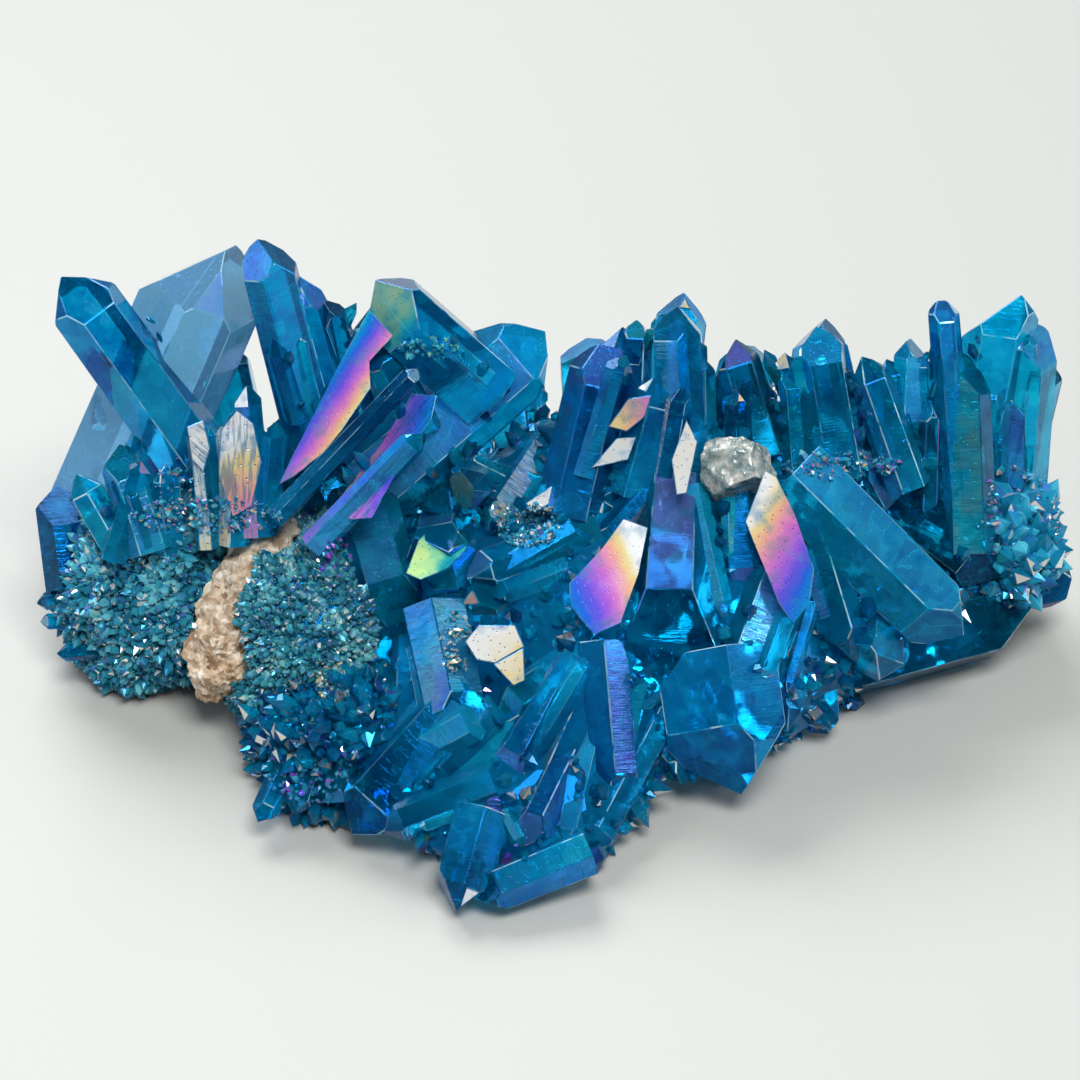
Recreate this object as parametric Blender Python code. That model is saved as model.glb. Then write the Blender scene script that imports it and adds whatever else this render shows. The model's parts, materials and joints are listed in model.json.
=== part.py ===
"""Aqua aura quartz cluster: a fan of six-sided quartz points grown together on a drusy crust, with a
seam of bare host stone in its left cleft. Metres, +Z up, the front towards -Y. The origin is on the
flat underside, below the middle of the cluster."""

import math
import random
from collections import namedtuple

import bmesh
import bpy
from mathutils import Matrix, Vector, noise

MM = 0.001

# Places on the cluster's face are laid out on a drawing board that leans back before an eye in front of
# and above it: across the board, up the board, and the height above the table, in millimetres.
EYE_ELEVATION = math.radians(40)
EYE_DISTANCE = 420
BOARD_HEIGHT = 20

# Quartz habit: each of the six tip faces stands this far from square to the long axis.
TIP_FACE_TILT = math.radians(51.8)
FACE_VARIETY = 0.10
MAJOR_SETBACK = (0.08, 0.30)
MINOR_SETBACK = (0.0, 0.08)
ROOT_LENGTH = 2.5

# Points slimmer than this end in three even tip faces, the stouter ones in six uneven ones.
SLIM_WIDTH = 5.5

Point = namedtuple("Point", "name foot tip width roll flat taper chisel", defaults=(0, 1.0, 0.6, None))

# Each point: foot and tip on the board, width over its flats, roll of its first side from the eye in
# degrees, how flat it is, its taper in degrees, and a tip face cut back by a share of the width.
LEFT_CROWN = [
    Point("left_spear", (-41.4, 10, 26), (-57.2, 31.8, 48), 7.8, roll=8),
    Point("back_giant", (-51.6, 2.6, 12), (-37.5, 35.2, 48), 13.5, roll=12, chisel=(4, 0.25)),
    Point("twin_left", (-28.3, 13, 28), (-34.4, 36, 54), 4.4, roll=20),
    Point("twin_right", (-24, 14, 28), (-30.6, 34.9, 52), 5.8, roll=-10, chisel=(1, 0.3)),
    Point("twin_stub", (-21, 15, 28), (-26, 28.6, 46), 3.8, roll=15),
    Point("violet_slab", (-31.5, 4, 24), (-18, 28.5, 42), 7.0, roll=0, flat=0.7),
    Point("chisel_top", (-6.5, 18, 34), (-19.7, 30, 47), 7.6, roll=25, chisel=(5, 0.3)),
    Point("slab_neighbour", (-15, 15, 32), (-19.6, 23.6, 40), 4.4, roll=5),
    Point("long_blue", (-19, 8, 26), (-1.2, 25.4, 40), 8.8, roll=0, flat=0.85),
    Point("dark_ribbon", (-31.5, 3.5, 23), (-14.5, 20, 34), 3.2, roll=20),
    Point("violet_ribbon", (-30, 1.5, 24), (-12.2, 18.2, 36), 3.4, roll=-8),
    Point("ribbon_root", (-23.5, 2, 23), (-15.2, 12.2, 32), 3.4, roll=12),
    Point("gold_tooth", (-36.5, 2, 24), (-36.6, 15.6, 36), 4.2, roll=10),
    Point("white_tooth", (-40, 1.5, 24), (-41.2, 14, 35), 2.6, roll=-12),
    Point("grey_tooth", (-34, 3, 25), (-35.2, 18.6, 38), 3.8, roll=30),
    Point("lobe_tooth_a", (-44.5, 1, 22), (-45, 9, 30), 3.4, roll=20),
    Point("lobe_tooth_b", (-47, 0.5, 22), (-50.5, 11.5, 31), 5.0, roll=0, chisel=(0, 0.3)),
    Point("lobe_tooth_c", (-51, 0, 20), (-55.6, 8, 27), 4.2, roll=25),
    Point("pink_flank", (-50.5, 0, 22), (-47.4, 10, 31), 3.0, roll=-20),
    Point("left_bulwark", (-56, -5, 12), (-57.6, 6.5, 21), 6.0, roll=10, chisel=(0, 0.35)),
    Point("left_thorn_a", (-55, -6.5, 10), (-60, -8.6, 9), 2.4),
    Point("left_thorn_c", (-52, -13, 6), (-57, -15.4, 4.2), 2.8),
]

BACK_RIDGE = [
    Point("ridge_stub", (1, 15, 32), (3.2, 22.9, 38), 3.6, roll=10, chisel=(0, 0.4)),
    Point("midnight", (3.2, 3, 25), (8, 23.4, 41.5), 6.6, roll=4, chisel=(0, 0.4)),
    Point("midnight_twin", (8, 12, 29), (10.2, 25.6, 41), 6.4, roll=18),
    Point("midnight_third", (11, 14, 31), (11.6, 26.5, 42), 3.8, roll=0),
    Point("crown_mid", (17.4, 8, 28), (16.4, 28.1, 45), 6.2, roll=28),
    Point("striped_flank", (11.5, 7, 28), (15, 19.8, 39), 5.0, roll=12, chisel=(0, 0.4)),
    Point("grey_blade", (15.2, 7, 29), (17.2, 18.4, 39.5), 3.0, roll=-8),
    Point("plum_tip", (26.3, 11, 30), (22.5, 23.9, 41), 5.8, roll=12, chisel=(4, 0.25)),
    Point("plum_foot", (24, 9, 31), (23.6, 18.2, 39), 3.0, roll=20),
    Point("bright_peak", (35.4, 8, 28), (32.6, 25.6, 42), 7.6, roll=20),
    Point("peak_shadow", (32, 12, 29), (29.8, 22.2, 37), 3.4, roll=10),
    Point("leaning_tip", (43.4, 8.5, 28), (38.6, 22.1, 39.5), 4.8, roll=15),
    Point("leaning_shadow", (44, 11, 27), (41.6, 21.8, 36), 3.4, roll=5),
    Point("clear_chunk", (44.6, 13, 28), (45, 24, 38), 5.0, roll=18, chisel=(1, 0.5)),
]

RIGHT_CROWN = [
    Point("right_tower", (50.5, 1, 20), (48.3, 28.8, 44), 3.8, roll=8, chisel=(0, 0.4)),
    Point("tower_wall", (51.5, -1, 18), (50.8, 23, 38.5), 5.6, roll=0, chisel=(1, 0.5)),
    Point("tower_side", (46.5, 2, 20), (47, 16.4, 33), 3.2, roll=12),
    Point("right_arch", (53, 13, 24), (56.2, 30, 44), 7.8, roll=5, chisel=(4, 0.4)),
    Point("right_shield", (57, 7, 18), (58.7, 26.6, 40.5), 6.4, roll=0, chisel=(1, 0.3)),
    Point("right_edge", (57.5, 8, 18), (61, 21.8, 34), 4.4, roll=10),
    Point("arch_knob", (56.6, 6, 20), (56.9, 18.2, 32), 3.6, roll=15, chisel=(1, 0.4)),
]

FRONT_FAN = [
    Point("long_spear", (28, 10, 31), (48.2, -12.4, 14.5), 5.2, roll=30),
    Point("broad_teal", (31, 13.4, 29), (51, -3.4, 18.5), 10.4, roll=-4, flat=0.62, chisel=(0, 0.3)),
    Point("spear_shadow", (33, 0, 22), (37.5, -14.8, 11.5), 6.4, roll=20),
    Point("front_pyramid", (40.6, -11.2, 6), (39.3, -12.8, 15), 8.4, roll=10),
    Point("pyramid_back", (36, 0, 18), (38.4, -10.4, 12), 7.2, roll=8, chisel=(0, 0.5)),
    Point("broken_slab", (33, -14, 6), (62.4, -6.4, 7), 10.4, roll=20, flat=0.9, chisel=(1, 0.5)),
    Point("slab_rim", (50, -2, 10), (63.6, -5.6, 9), 7.0, roll=5, chisel=(0, 0.5)),
    Point("sunset_right", (26, 10.5, 33.5), (31.8, -10.8, 18.5), 7.4, roll=-4, flat=0.62),
    Point("heart", (17, 7, 27), (15.8, -17.2, 16.5), 9.8, roll=5, taper=-2.0, chisel=(0, 0.6)),
    Point("sunset_left", (13, 5.4, 30), (5.8, -12.4, 20.5), 7.6, roll=-6, flat=0.62),
    Point("grey_band", (14.6, 8, 29), (7, -0.6, 23.5), 3.0, roll=0),
    Point("heart_edge_b", (23.5, 4, 27), (24.4, -6.6, 20), 4.8, roll=0),
    Point("heart_edge_c", (21, 0, 24), (19.2, -16, 16), 3.6, roll=18),
    Point("violet_mid", (28.4, -6, 21), (23.4, -19.6, 13), 6.6, roll=-6, flat=0.8),
    Point("needle_b", (29, -8, 18), (31.2, -20.4, 9), 2.4, roll=30),
    Point("plumb_column", (33, -6, 17), (33.4, -23, 2.6), 4.4, roll=24, chisel=(0, 0.6)),
    Point("big_hex", (21.4, -11, 16), (23.8, -30.3, 3.8), 12.0, roll=24),
    Point("hex_side", (28, -12, 12), (29.4, -23.5, 6), 5.2, roll=15),
    Point("teal_mid", (17.5, -10, 14), (17, -29.4, 4), 5.0, roll=30),
    Point("lime_hex", (-11, 0.6, 15), (-11.8, -2.6, 26), 8.0, roll=25, chisel=(2, 0.35)),
    Point("small_hex", (-7.2, 8, 20), (-8.6, 6, 29), 5.0, roll=20, chisel=(2, 0.3)),
    Point("left_prism", (-21, 4, 24), (-17, -10, 16.5), 6.8, roll=4, flat=0.8, chisel=(0, 0.5)),
    Point("dark_hex", (-17, -9, 14), (-18.2, -15.4, 13.5), 6.6, roll=12, chisel=(0, 0.7)),
    Point("dotted_blade", (-12.6, -9, 18), (-9.4, -24.2, 10.5), 7.6, roll=26),
    Point("dotted_foot", (-14.6, -14, 13), (-15.4, -25.4, 8), 5.6, roll=10),
    Point("lower_left_spear", (-8, -19, 13), (-22.8, -35.2, 3.4), 8.4, roll=10, flat=0.8),
    Point("spear_twin", (-14, -20, 10), (-27, -31.6, 4), 5.0, roll=20),
    Point("silver_steps", (5, -6, 20), (-9.8, -13.6, 17), 6.6, roll=0, flat=0.8, chisel=(0, 0.5)),
    Point("gold_step", (3, -12, 17), (-6, -18.4, 13.5), 5.0, roll=0, flat=0.8, chisel=(0, 0.5)),
    Point("mid_bar", (6, 0, 23), (-10, -8, 19), 6.8, roll=0, flat=0.8),
    Point("mid_bar_low", (6, -14, 15), (-5.6, -22, 12), 5.2, roll=25),
    Point("dark_blade", (7.4, -13.5, 17), (9, -31.6, 5), 5.8, roll=22),
    Point("bottom_spear", (14.6, -20, 10), (5.6, -37.4, 3), 4.4, roll=26),
    Point("front_toe", (-7.2, -33.5, 7.5), (-10.2, -44.6, 1.4), 6.6, roll=0, chisel=(1, 0.2)),
    Point("front_sill", (3.4, -38.4, 4.6), (-8, -43, 2.4), 4.6, roll=0),
    Point("dark_plate", (-8, -30, 8), (-19.8, -34.8, 4.6), 5.2, roll=0),
    Point("fan_a", (4, -16, 15), (-5, -30, 7.5), 6.0, roll=14),
    Point("fan_b", (5, -20, 12), (-2, -35.4, 5), 4.6, roll=-10),
    Point("fan_c", (6, -24, 10), (3, -37, 4.4), 3.6, roll=10),
    Point("fan_d", (-3, -22, 11), (-11.6, -33.6, 5.6), 5.2, roll=22),
    Point("left_tip", (7, 4, 24), (2.6, -2.6, 23), 5.2, roll=0),
    Point("grey_face", (0.6, 11.5, 26), (-6.4, 1, 23.5), 3.4, roll=0, flat=0.7),
    Point("white_wedge", (3, 6.5, 26), (11.4, 12.8, 34), 3.6, roll=10),
    Point("deep_blade_a", (10, 7, 26), (1.6, 2.6, 25.4), 4.2, roll=18),
    Point("deep_blade_b", (-2, 5, 22), (-14.6, 3.8, 23.5), 5.4, roll=10),
]

# Bundles of lesser points that fill the room between the named ones. Each has a leading foot and tip on
# the board, how many points there are, their width, and how far the feet and tips stray over the board;
# their heights stray by a share of that.
Bundle = namedtuple("Bundle", "name foot tip count width stray")
BUNDLES = [
    Bundle("hub_left", (3, 5, 22), (-8, 7, 25), 4, (3.2, 5.0), (2.4, 3.4)),
    Bundle("hub_low", (5, 0, 22), (-8, -1.4, 22), 4, (3.2, 5.0), (2.4, 3.4)),
    Bundle("heart_foot", (10, -12, 16), (13.4, -23, 8), 3, (3.6, 4.8), (2.0, 2.4)),
    Bundle("apron", (1, -23, 10), (-4, -35.5, 5), 5, (3.4, 5.4), (3.0, 4.0)),
    Bundle("apron_left", (-12, -21, 12), (-20, -29, 7), 3, (3.6, 5.2), (2.6, 3.4)),
    Bundle("wall_foot", (-24, -21, 8), (-30, -30, 3.4), 6, (2.6, 4.0), (3.6, 4.4)),
    Bundle("right_seat", (40, 4, 22), (41, 13, 30), 3, (3.0, 4.4), (2.6, 3.0)),
]

STRAY_SHARES = (1, 1, 0.4)

# The back of the cluster, in table millimetres: x, y, z.
REAR_POINTS = [
    Point("rear_a", (-46, 10, 14), (-52, 23, 24), 6.4, roll=10),
    Point("rear_b", (-36, 12, 17), (-40, 26, 31), 7.6, roll=25),
    Point("rear_c", (-28, 14, 18), (-27, 30, 26), 5.6, roll=5),
    Point("rear_d", (-19, 15, 20), (-20, 27, 36), 7.0, roll=20),
    Point("rear_e", (-10, 16, 16), (-12, 35, 22), 8.2, roll=40),
    Point("rear_f", (-2, 16, 20), (-3, 30, 28), 6.2, roll=12),
    Point("rear_g", (7, 17, 20), (6, 33, 26), 8.0, roll=33),
    Point("rear_h", (16, 16, 26), (18, 27, 37), 5.8, roll=8),
    Point("rear_i", (23, 16, 20), (27, 32, 25), 7.4, roll=21),
    Point("rear_j", (33, 14, 24), (35, 26, 34), 6.2, roll=50),
    Point("rear_k", (41, 14, 18), (47, 27, 24), 7.6, roll=14),
    Point("rear_l", (50, 12, 16), (57, 22, 27), 5.6, roll=30),
    Point("rear_low_a", (-40, 12, 7), (-47, 24, 7), 6.2, roll=35),
    Point("rear_low_b", (-26, 14, 7), (-29, 29, 8), 8.4, roll=10),
    Point("rear_low_c", (-12, 16, 7), (-14, 31, 8), 5.6, roll=0),
    Point("rear_low_d", (1, 16, 8), (0, 35, 10), 7.4, roll=24),
    Point("rear_low_e", (14, 16, 7), (17, 34, 7), 8.6, roll=44),
    Point("rear_low_f", (30, 15, 8), (35, 30, 9), 6.6, roll=18),
    Point("rear_low_g", (44, 12, 7), (52, 22, 9), 7.0, roll=28),
]

# Lumps of crust in table millimetres: centre, radii, how finely they are faceted, and the way that their
# druse of small pyramids faces, with how far it spreads from there in degrees.
Lump = namedtuple("Lump", "name centre radii detail druse_way druse_spread", defaults=(None, 0))
CRUST_LUMPS = [
    Lump("mound", (10, 2, 7), (32, 24, 19), 2),
    Lump("ridge_core", (21, 10, 20), (28, 9, 12.5), 2),
    Lump("front_apron", (-3, -21, 3), (17, 17, 8.5), 2),
    Lump("wall_foot", (-22, -15, 4), (12, 13.5, 9), 3, (-0.5, -0.7, 0.5), 66),
    Lump("left_lobe", (-46, 5, 9), (11.5, 11, 13.5), 3, (-0.35, -0.9, 0.25), 82),
    Lump("neck", (-27, -3, 8), (12, 15, 14.5), 3, (-0.3, -0.85, 0.4), 70),
    Lump("neck_back", (-28, 11, 11), (20, 9, 16), 2),
    Lump("right_mass", (44, 8, 8), (14, 13, 12), 2),
    Lump("right_crust", (55.5, 9, 11), (7, 8, 8), 2, (0.6, -0.7, 0.3), 80),
    Lump("bare_knob", (22.2, -0.6, 31), (4.4, 3.4, 4.4), 2),
]
DRUSE_HEIGHT = (0.9, 2.3)
DRUSE_LEAN = 0.45
DRUSE_COVER = 0.58
LUMP_BUMP = 2.2
LUMP_BUMP_SIZE = 5.5
NOISE_SHIFT = Vector((0.37, 0.37, 0.37))

# The bare host stone follows this bend down the cleft: board places of its top, middle and foot.
STONE_SPINE = [(-32.6, 2, 21.5), (-37.8, -9, 14), (-40, -18.6, 3.6)]
STONE_RADII = (4.4, 4.8)
STONE_BUMP = 1.2
STONE_BUMP_SIZE = 3.2
STONE_GAP = 0.4

TABLE_CUTTER_SIZE = 200


def remove_scene_objects():
    for old in list(bpy.data.objects):
        bpy.data.objects.remove(old, do_unlink=True)


def new_collection(name, hidden=False):
    collection = bpy.data.collections.new(name)
    collection.hide_render = hidden
    bpy.context.scene.collection.children.link(collection)
    return collection


def spot(across, up, height):
    """The place at a height above the table that the eye sees at a spot on the drawing board."""
    lean = Vector((0, math.sin(EYE_ELEVATION), math.cos(EYE_ELEVATION)))
    middle = Vector((0, 0, BOARD_HEIGHT))
    on_board = middle + Vector((across, 0, 0)) + lean * up
    sight = on_board - eye_place()
    return eye_place() + sight * ((height - eye_place().z) / sight.z)


def eye_place():
    back = Vector((0, -math.cos(EYE_ELEVATION), math.sin(EYE_ELEVATION)))
    return Vector((0, 0, BOARD_HEIGHT)) + back * EYE_DISTANCE


def table_spot(x, y, z):
    return Vector((x, y, z))


def keep_inside(mesh, place, outward):
    """Cut the mesh by a plane, drop what lies beyond it and close the cut."""
    everything = mesh.verts[:] + mesh.edges[:] + mesh.faces[:]
    cut = bmesh.ops.bisect_plane(mesh, geom=everything, dist=1e-5, plane_co=place,
                                 plane_no=outward, clear_outer=True)
    rim = [piece for piece in cut["geom_cut"] if isinstance(piece, bmesh.types.BMEdge)]
    if rim:
        bmesh.ops.contextual_create(mesh, geom=rim)


def side_direction(index, lift=0.0):
    """The way that one of the six sides faces, with a lift towards the tip."""
    turn = math.radians(60 * index)
    across = Vector((math.cos(turn), math.sin(turn), 0))
    return across * math.cos(lift) + Vector((0, 0, math.sin(lift)))


def quartz_point_mesh(point, length):
    """A six-sided prism with a six-faced tip, cut from a block, standing on its foot along +Z."""
    own = random.Random(point.name)
    mesh = bmesh.new()
    block = Matrix.Diagonal((3 * point.width, 3 * point.width, length + 2 * point.width, 1))
    bmesh.ops.create_cube(mesh, size=1, matrix=block)
    bmesh.ops.translate(mesh, verts=mesh.verts, vec=(0, 0, block[2][2] / 2 - ROOT_LENGTH))
    for index in range(6):
        reach = point.width / 2 * (1 + own.uniform(-FACE_VARIETY, FACE_VARIETY))
        if index in (0, 3):
            reach *= point.flat
        outward = side_direction(index, math.radians(point.taper))
        keep_inside(mesh, side_direction(index) * reach, outward)
    major = own.randrange(2)
    for index in range(6):
        setback = own.uniform(*(MAJOR_SETBACK if index % 2 == major else MINOR_SETBACK))
        if point.width < SLIM_WIDTH:
            setback = 0
        if point.chisel and point.chisel[0] == index:
            setback += point.chisel[1]
        outward = side_direction(index, math.pi / 2 - TIP_FACE_TILT)
        if index % 2 == major or point.width > SLIM_WIDTH:
            keep_inside(mesh, Vector((0, 0, length - setback * point.width)), outward)
    rise = length - max(vert.co.z for vert in mesh.verts)
    bmesh.ops.translate(mesh, verts=mesh.verts, vec=(0, 0, rise))
    bmesh.ops.recalc_face_normals(mesh, faces=mesh.faces)
    return mesh


def aim(foot, tip, roll):
    """Axes with +Z from foot to tip and +X as near to the eye as it can be, then rolled."""
    along = (tip - foot).normalized()
    to_eye = eye_place() - foot
    facing = (to_eye - along * to_eye.dot(along)).normalized()
    axes = Matrix((facing, along.cross(facing), along)).transposed().to_4x4()
    return Matrix.Translation(foot) @ axes @ Matrix.Rotation(math.radians(roll), 4, "Z")


def add_object(name, mesh, place, collection, material):
    """An object made from a mesh in millimetres, with its place worked into the mesh."""
    mesh.transform(Matrix.Scale(MM, 4) @ place)
    data = bpy.data.meshes.new(name)
    mesh.to_mesh(data)
    mesh.free()
    data.materials.append(material)
    item = bpy.data.objects.new(name, data)
    collection.objects.link(item)
    return item


def add_point(point, foot, tip, collection, material):
    mesh = quartz_point_mesh(point, (tip - foot).length)
    add_object(point.name, mesh, aim(foot, tip, point.roll), collection, material)


def add_points(points, placement, collection, material):
    for point in points:
        add_point(point, placement(*point.foot), placement(*point.tip), collection, material)


def strayed(place, stray, own):
    return [value + own.uniform(-stray, stray) * share for value, share in zip(place, STRAY_SHARES)]


def add_bundles(collection, material):
    for bundle in BUNDLES:
        own = random.Random(bundle.name)
        for index in range(bundle.count):
            foot = spot(*strayed(bundle.foot, bundle.stray[0], own))
            tip = spot(*strayed(bundle.tip, bundle.stray[1], own))
            width = own.uniform(*bundle.width)
            roll = own.uniform(0, 60)
            lesser = Point(f"{bundle.name}_{index}", foot, tip, width, roll)
            add_point(lesser, foot, tip, collection, material)


def bumpy(mesh, depth, size):
    """Push each vertex in or out along its normal by smooth seeded noise."""
    mesh.normal_update()
    pushes = [noise.noise(vert.co / size + NOISE_SHIFT) * depth for vert in mesh.verts]
    for vert, push in zip(mesh.verts, pushes):
        vert.co += vert.normal * push


def raise_druse(mesh, lump):
    """Raise a small pyramid, leaning a little, on each face that looks the druse's way."""
    own = random.Random(lump.name)
    way = Vector(lump.druse_way)
    spread = math.radians(lump.druse_spread)
    mesh.normal_update()
    faces = [face for face in mesh.faces if face.normal.angle(way) < spread]
    faces = own.sample(faces, int(len(faces) * DRUSE_COVER))
    normals = [face.normal.copy() for face in faces]
    peaks = bmesh.ops.poke(mesh, faces=faces)["verts"]
    for peak, normal in zip(peaks, normals):
        lean = Vector([own.uniform(-DRUSE_LEAN, DRUSE_LEAN) for _ in range(3)])
        peak.co += (normal + lean) * own.uniform(*DRUSE_HEIGHT)


def add_lump(lump, collection, material):
    mesh = bmesh.new()
    bmesh.ops.create_icosphere(mesh, subdivisions=lump.detail, radius=1)
    mesh.transform(Matrix.Translation(lump.centre) @ Matrix.Diagonal((*lump.radii, 1)))
    bumpy(mesh, LUMP_BUMP, LUMP_BUMP_SIZE)
    if lump.druse_way:
        raise_druse(mesh, lump)
    return add_object(lump.name, mesh, Matrix.Identity(4), collection, material)


def spine_place(share):
    """A place on the smooth bend through the three spine spots."""
    top, middle, low = [spot(*place) for place in STONE_SPINE]
    pull = middle * 2 - (top + low) / 2
    return top.lerp(pull, share).lerp(pull.lerp(low, share), share)


def stone_mesh(swell=0.0):
    """A bent, rough wedge of stone; the swell makes it thicker all round."""
    mesh = bmesh.new()
    bmesh.ops.create_icosphere(mesh, subdivisions=3, radius=1)
    for vert in mesh.verts:
        middle = spine_place((1 - vert.co.z) / 2)
        girth = Vector((vert.co.x * STONE_RADII[0], vert.co.y * STONE_RADII[1], 0))
        vert.co = middle + girth
    bumpy(mesh, STONE_BUMP, STONE_BUMP_SIZE)
    mesh.normal_update()
    normals = [vert.normal.copy() for vert in mesh.verts]
    for vert, normal in zip(mesh.verts, normals):
        vert.co += normal * swell
    return mesh


def quartz_material():
    """Clear quartz under a film of gold vapour: glassy and azure."""
    material = bpy.data.materials.new("coated_quartz")
    material.use_nodes = True
    shader = material.node_tree.nodes["Principled BSDF"]
    shader.inputs["Base Color"].default_value = (0.005, 0.22, 0.45, 1)
    shader.inputs["Roughness"].default_value = 0.08
    shader.inputs["IOR"].default_value = 1.54
    return material


def stone_material():
    """Iron-stained host rock, dull and tan."""
    material = bpy.data.materials.new("host_stone")
    material.use_nodes = True
    shader = material.node_tree.nodes["Principled BSDF"]
    shader.inputs["Base Color"].default_value = (0.36, 0.26, 0.16, 1)
    shader.inputs["Roughness"].default_value = 0.85
    return material


def add_boolean(item, operation, cutter):
    modifier = item.modifiers.new(f"{operation.lower()}_{cutter.name}", "BOOLEAN")
    modifier.operation = operation
    modifier.solver = "EXACT"
    if isinstance(cutter, bpy.types.Collection):
        modifier.operand_type = "COLLECTION"
        modifier.collection = cutter
    else:
        modifier.object = cutter
    return modifier


def as_cutter(item):
    item.hide_render = True
    item.display_type = "WIRE"
    return item


def table_cutter(collection, material):
    """A slab below the table, whose top is the plane of the flat underside."""
    mesh = bmesh.new()
    size = TABLE_CUTTER_SIZE
    bmesh.ops.create_cube(mesh, size=size)
    cutter = add_object("table_cutter", mesh, Matrix.Translation((0, 0, -size / 2)), collection, material)
    return as_cutter(cutter)


def grown_together(core, growths, collection):
    """One object from the core and all that grew on it, without the sealed gaps between them."""
    add_boolean(core, "UNION", growths)
    shape = core.evaluated_get(bpy.context.evaluated_depsgraph_get())
    data = bpy.data.meshes.new_from_object(shape)
    mesh = bmesh.new()
    mesh.from_mesh(data)
    drop_all_but_largest_shell(mesh)
    mesh.to_mesh(data)
    mesh.free()
    data.name = "quartz_cluster"
    cluster = bpy.data.objects.new("quartz_cluster", data)
    collection.objects.link(cluster)
    return cluster


def drop_all_but_largest_shell(mesh):
    shells = connected_faces(mesh)
    largest = max(shells, key=len)
    spare = [face for shell in shells if shell is not largest for face in shell]
    bmesh.ops.delete(mesh, geom=spare, context="FACES")


def connected_faces(mesh):
    left = set(mesh.faces)
    shells = []
    while left:
        shell = [left.pop()]
        for face in shell:
            near = {other for edge in face.edges for other in edge.link_faces if other in left}
            left -= near
            shell.extend(near)
        shells.append(shell)
    return shells


def build():
    remove_scene_objects()
    cluster_parts = new_collection("aqua_aura_quartz_cluster")
    growths = new_collection("growths", hidden=True)
    cutters = new_collection("cutters", hidden=True)
    quartz = quartz_material()
    stone = stone_material()

    core = as_cutter(add_lump(CRUST_LUMPS[0], cutters, quartz))
    for lump in CRUST_LUMPS[1:]:
        add_lump(lump, growths, quartz)
    for points in (LEFT_CROWN, BACK_RIDGE, RIGHT_CROWN, FRONT_FAN):
        add_points(points, spot, growths, quartz)
    add_points(REAR_POINTS, table_spot, growths, quartz)
    add_bundles(growths, quartz)
    for item in growths.objects:
        as_cutter(item)

    cluster = grown_together(core, growths, cluster_parts)
    floor = table_cutter(cutters, quartz)
    pocket = add_object("stone_pocket", stone_mesh(STONE_GAP), Matrix.Identity(4), cutters, stone)
    add_boolean(cluster, "DIFFERENCE", as_cutter(pocket))
    add_boolean(cluster, "DIFFERENCE", floor)
    matrix = add_object("matrix_stone", stone_mesh(), Matrix.Identity(4), cluster_parts, stone)
    add_boolean(matrix, "DIFFERENCE", floor)


build()
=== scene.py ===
import json
import math
import random
from collections import namedtuple

import bmesh
import bpy
from mathutils import Matrix, Vector, noise
from mathutils.bvhtree import BVHTree

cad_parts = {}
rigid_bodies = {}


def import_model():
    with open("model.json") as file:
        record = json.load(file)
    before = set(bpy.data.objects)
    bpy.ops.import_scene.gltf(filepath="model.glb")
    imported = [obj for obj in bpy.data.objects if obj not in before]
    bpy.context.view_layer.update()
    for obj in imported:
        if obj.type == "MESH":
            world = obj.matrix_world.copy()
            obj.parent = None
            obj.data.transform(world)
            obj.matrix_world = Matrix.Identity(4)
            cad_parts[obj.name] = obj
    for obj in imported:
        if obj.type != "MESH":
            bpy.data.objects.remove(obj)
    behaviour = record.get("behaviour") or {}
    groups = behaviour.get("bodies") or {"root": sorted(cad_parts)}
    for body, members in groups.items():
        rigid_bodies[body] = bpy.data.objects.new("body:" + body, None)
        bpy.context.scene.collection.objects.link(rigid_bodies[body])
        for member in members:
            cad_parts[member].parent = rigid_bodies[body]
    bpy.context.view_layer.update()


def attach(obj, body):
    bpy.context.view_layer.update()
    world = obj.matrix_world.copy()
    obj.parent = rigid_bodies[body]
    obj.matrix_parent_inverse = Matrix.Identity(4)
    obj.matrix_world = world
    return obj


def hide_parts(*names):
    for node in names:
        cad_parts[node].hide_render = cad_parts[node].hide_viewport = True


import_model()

MM = 0.001

# Places on the cluster's face are laid out on a drawing board that leans back before an eye in front of
# and above it: across the board, up the board, and the height above the table, in millimetres.
EYE_ELEVATION = math.radians(40)
EYE_DISTANCE = 420
BOARD_HEIGHT = 20
BOARD_WIDTH = 129.6
BOARD_LEAN = Vector((0, math.sin(EYE_ELEVATION), math.cos(EYE_ELEVATION)))
BOARD_MIDDLE = Vector((0, 0, BOARD_HEIGHT))
TO_EYE = Vector((0, -math.cos(EYE_ELEVATION), math.sin(EYE_ELEVATION)))
EYE = BOARD_MIDDLE + TO_EYE * EYE_DISTANCE

# Quartz habit: each of the six tip faces stands this far from square to the long axis.
TIP_FACE_TILT = math.radians(51.8)
FACE_VARIETY = 0.10
MAJOR_SETBACK = (0.08, 0.30)
MINOR_SETBACK = (0.0, 0.08)
SLIM_SETBACK = (0.0, 0.22)
ROOT_LENGTH = 2.5
ROOT_MARGIN = 0.1
SLIM_WIDTH = 5.5

# Knocks and handling leave a narrow worn flat along every edge of a point: its width, at most this share
# of the point's, and how fast its wear falls off from edge to edge. The wear also sets a pale painted
# highlight on each flat, stronger by the second, slower fall on the bright-edged points.
WORN_EDGE = 0.11
WORN_EDGE_SHARE = 0.03
WEAR_FALL = 2.5
BRIGHT_WEAR_FALL = 0.9

Point = namedtuple("Point", "name foot tip width roll flat taper chisel", defaults=(0, 1.0, 0.6, None))

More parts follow.
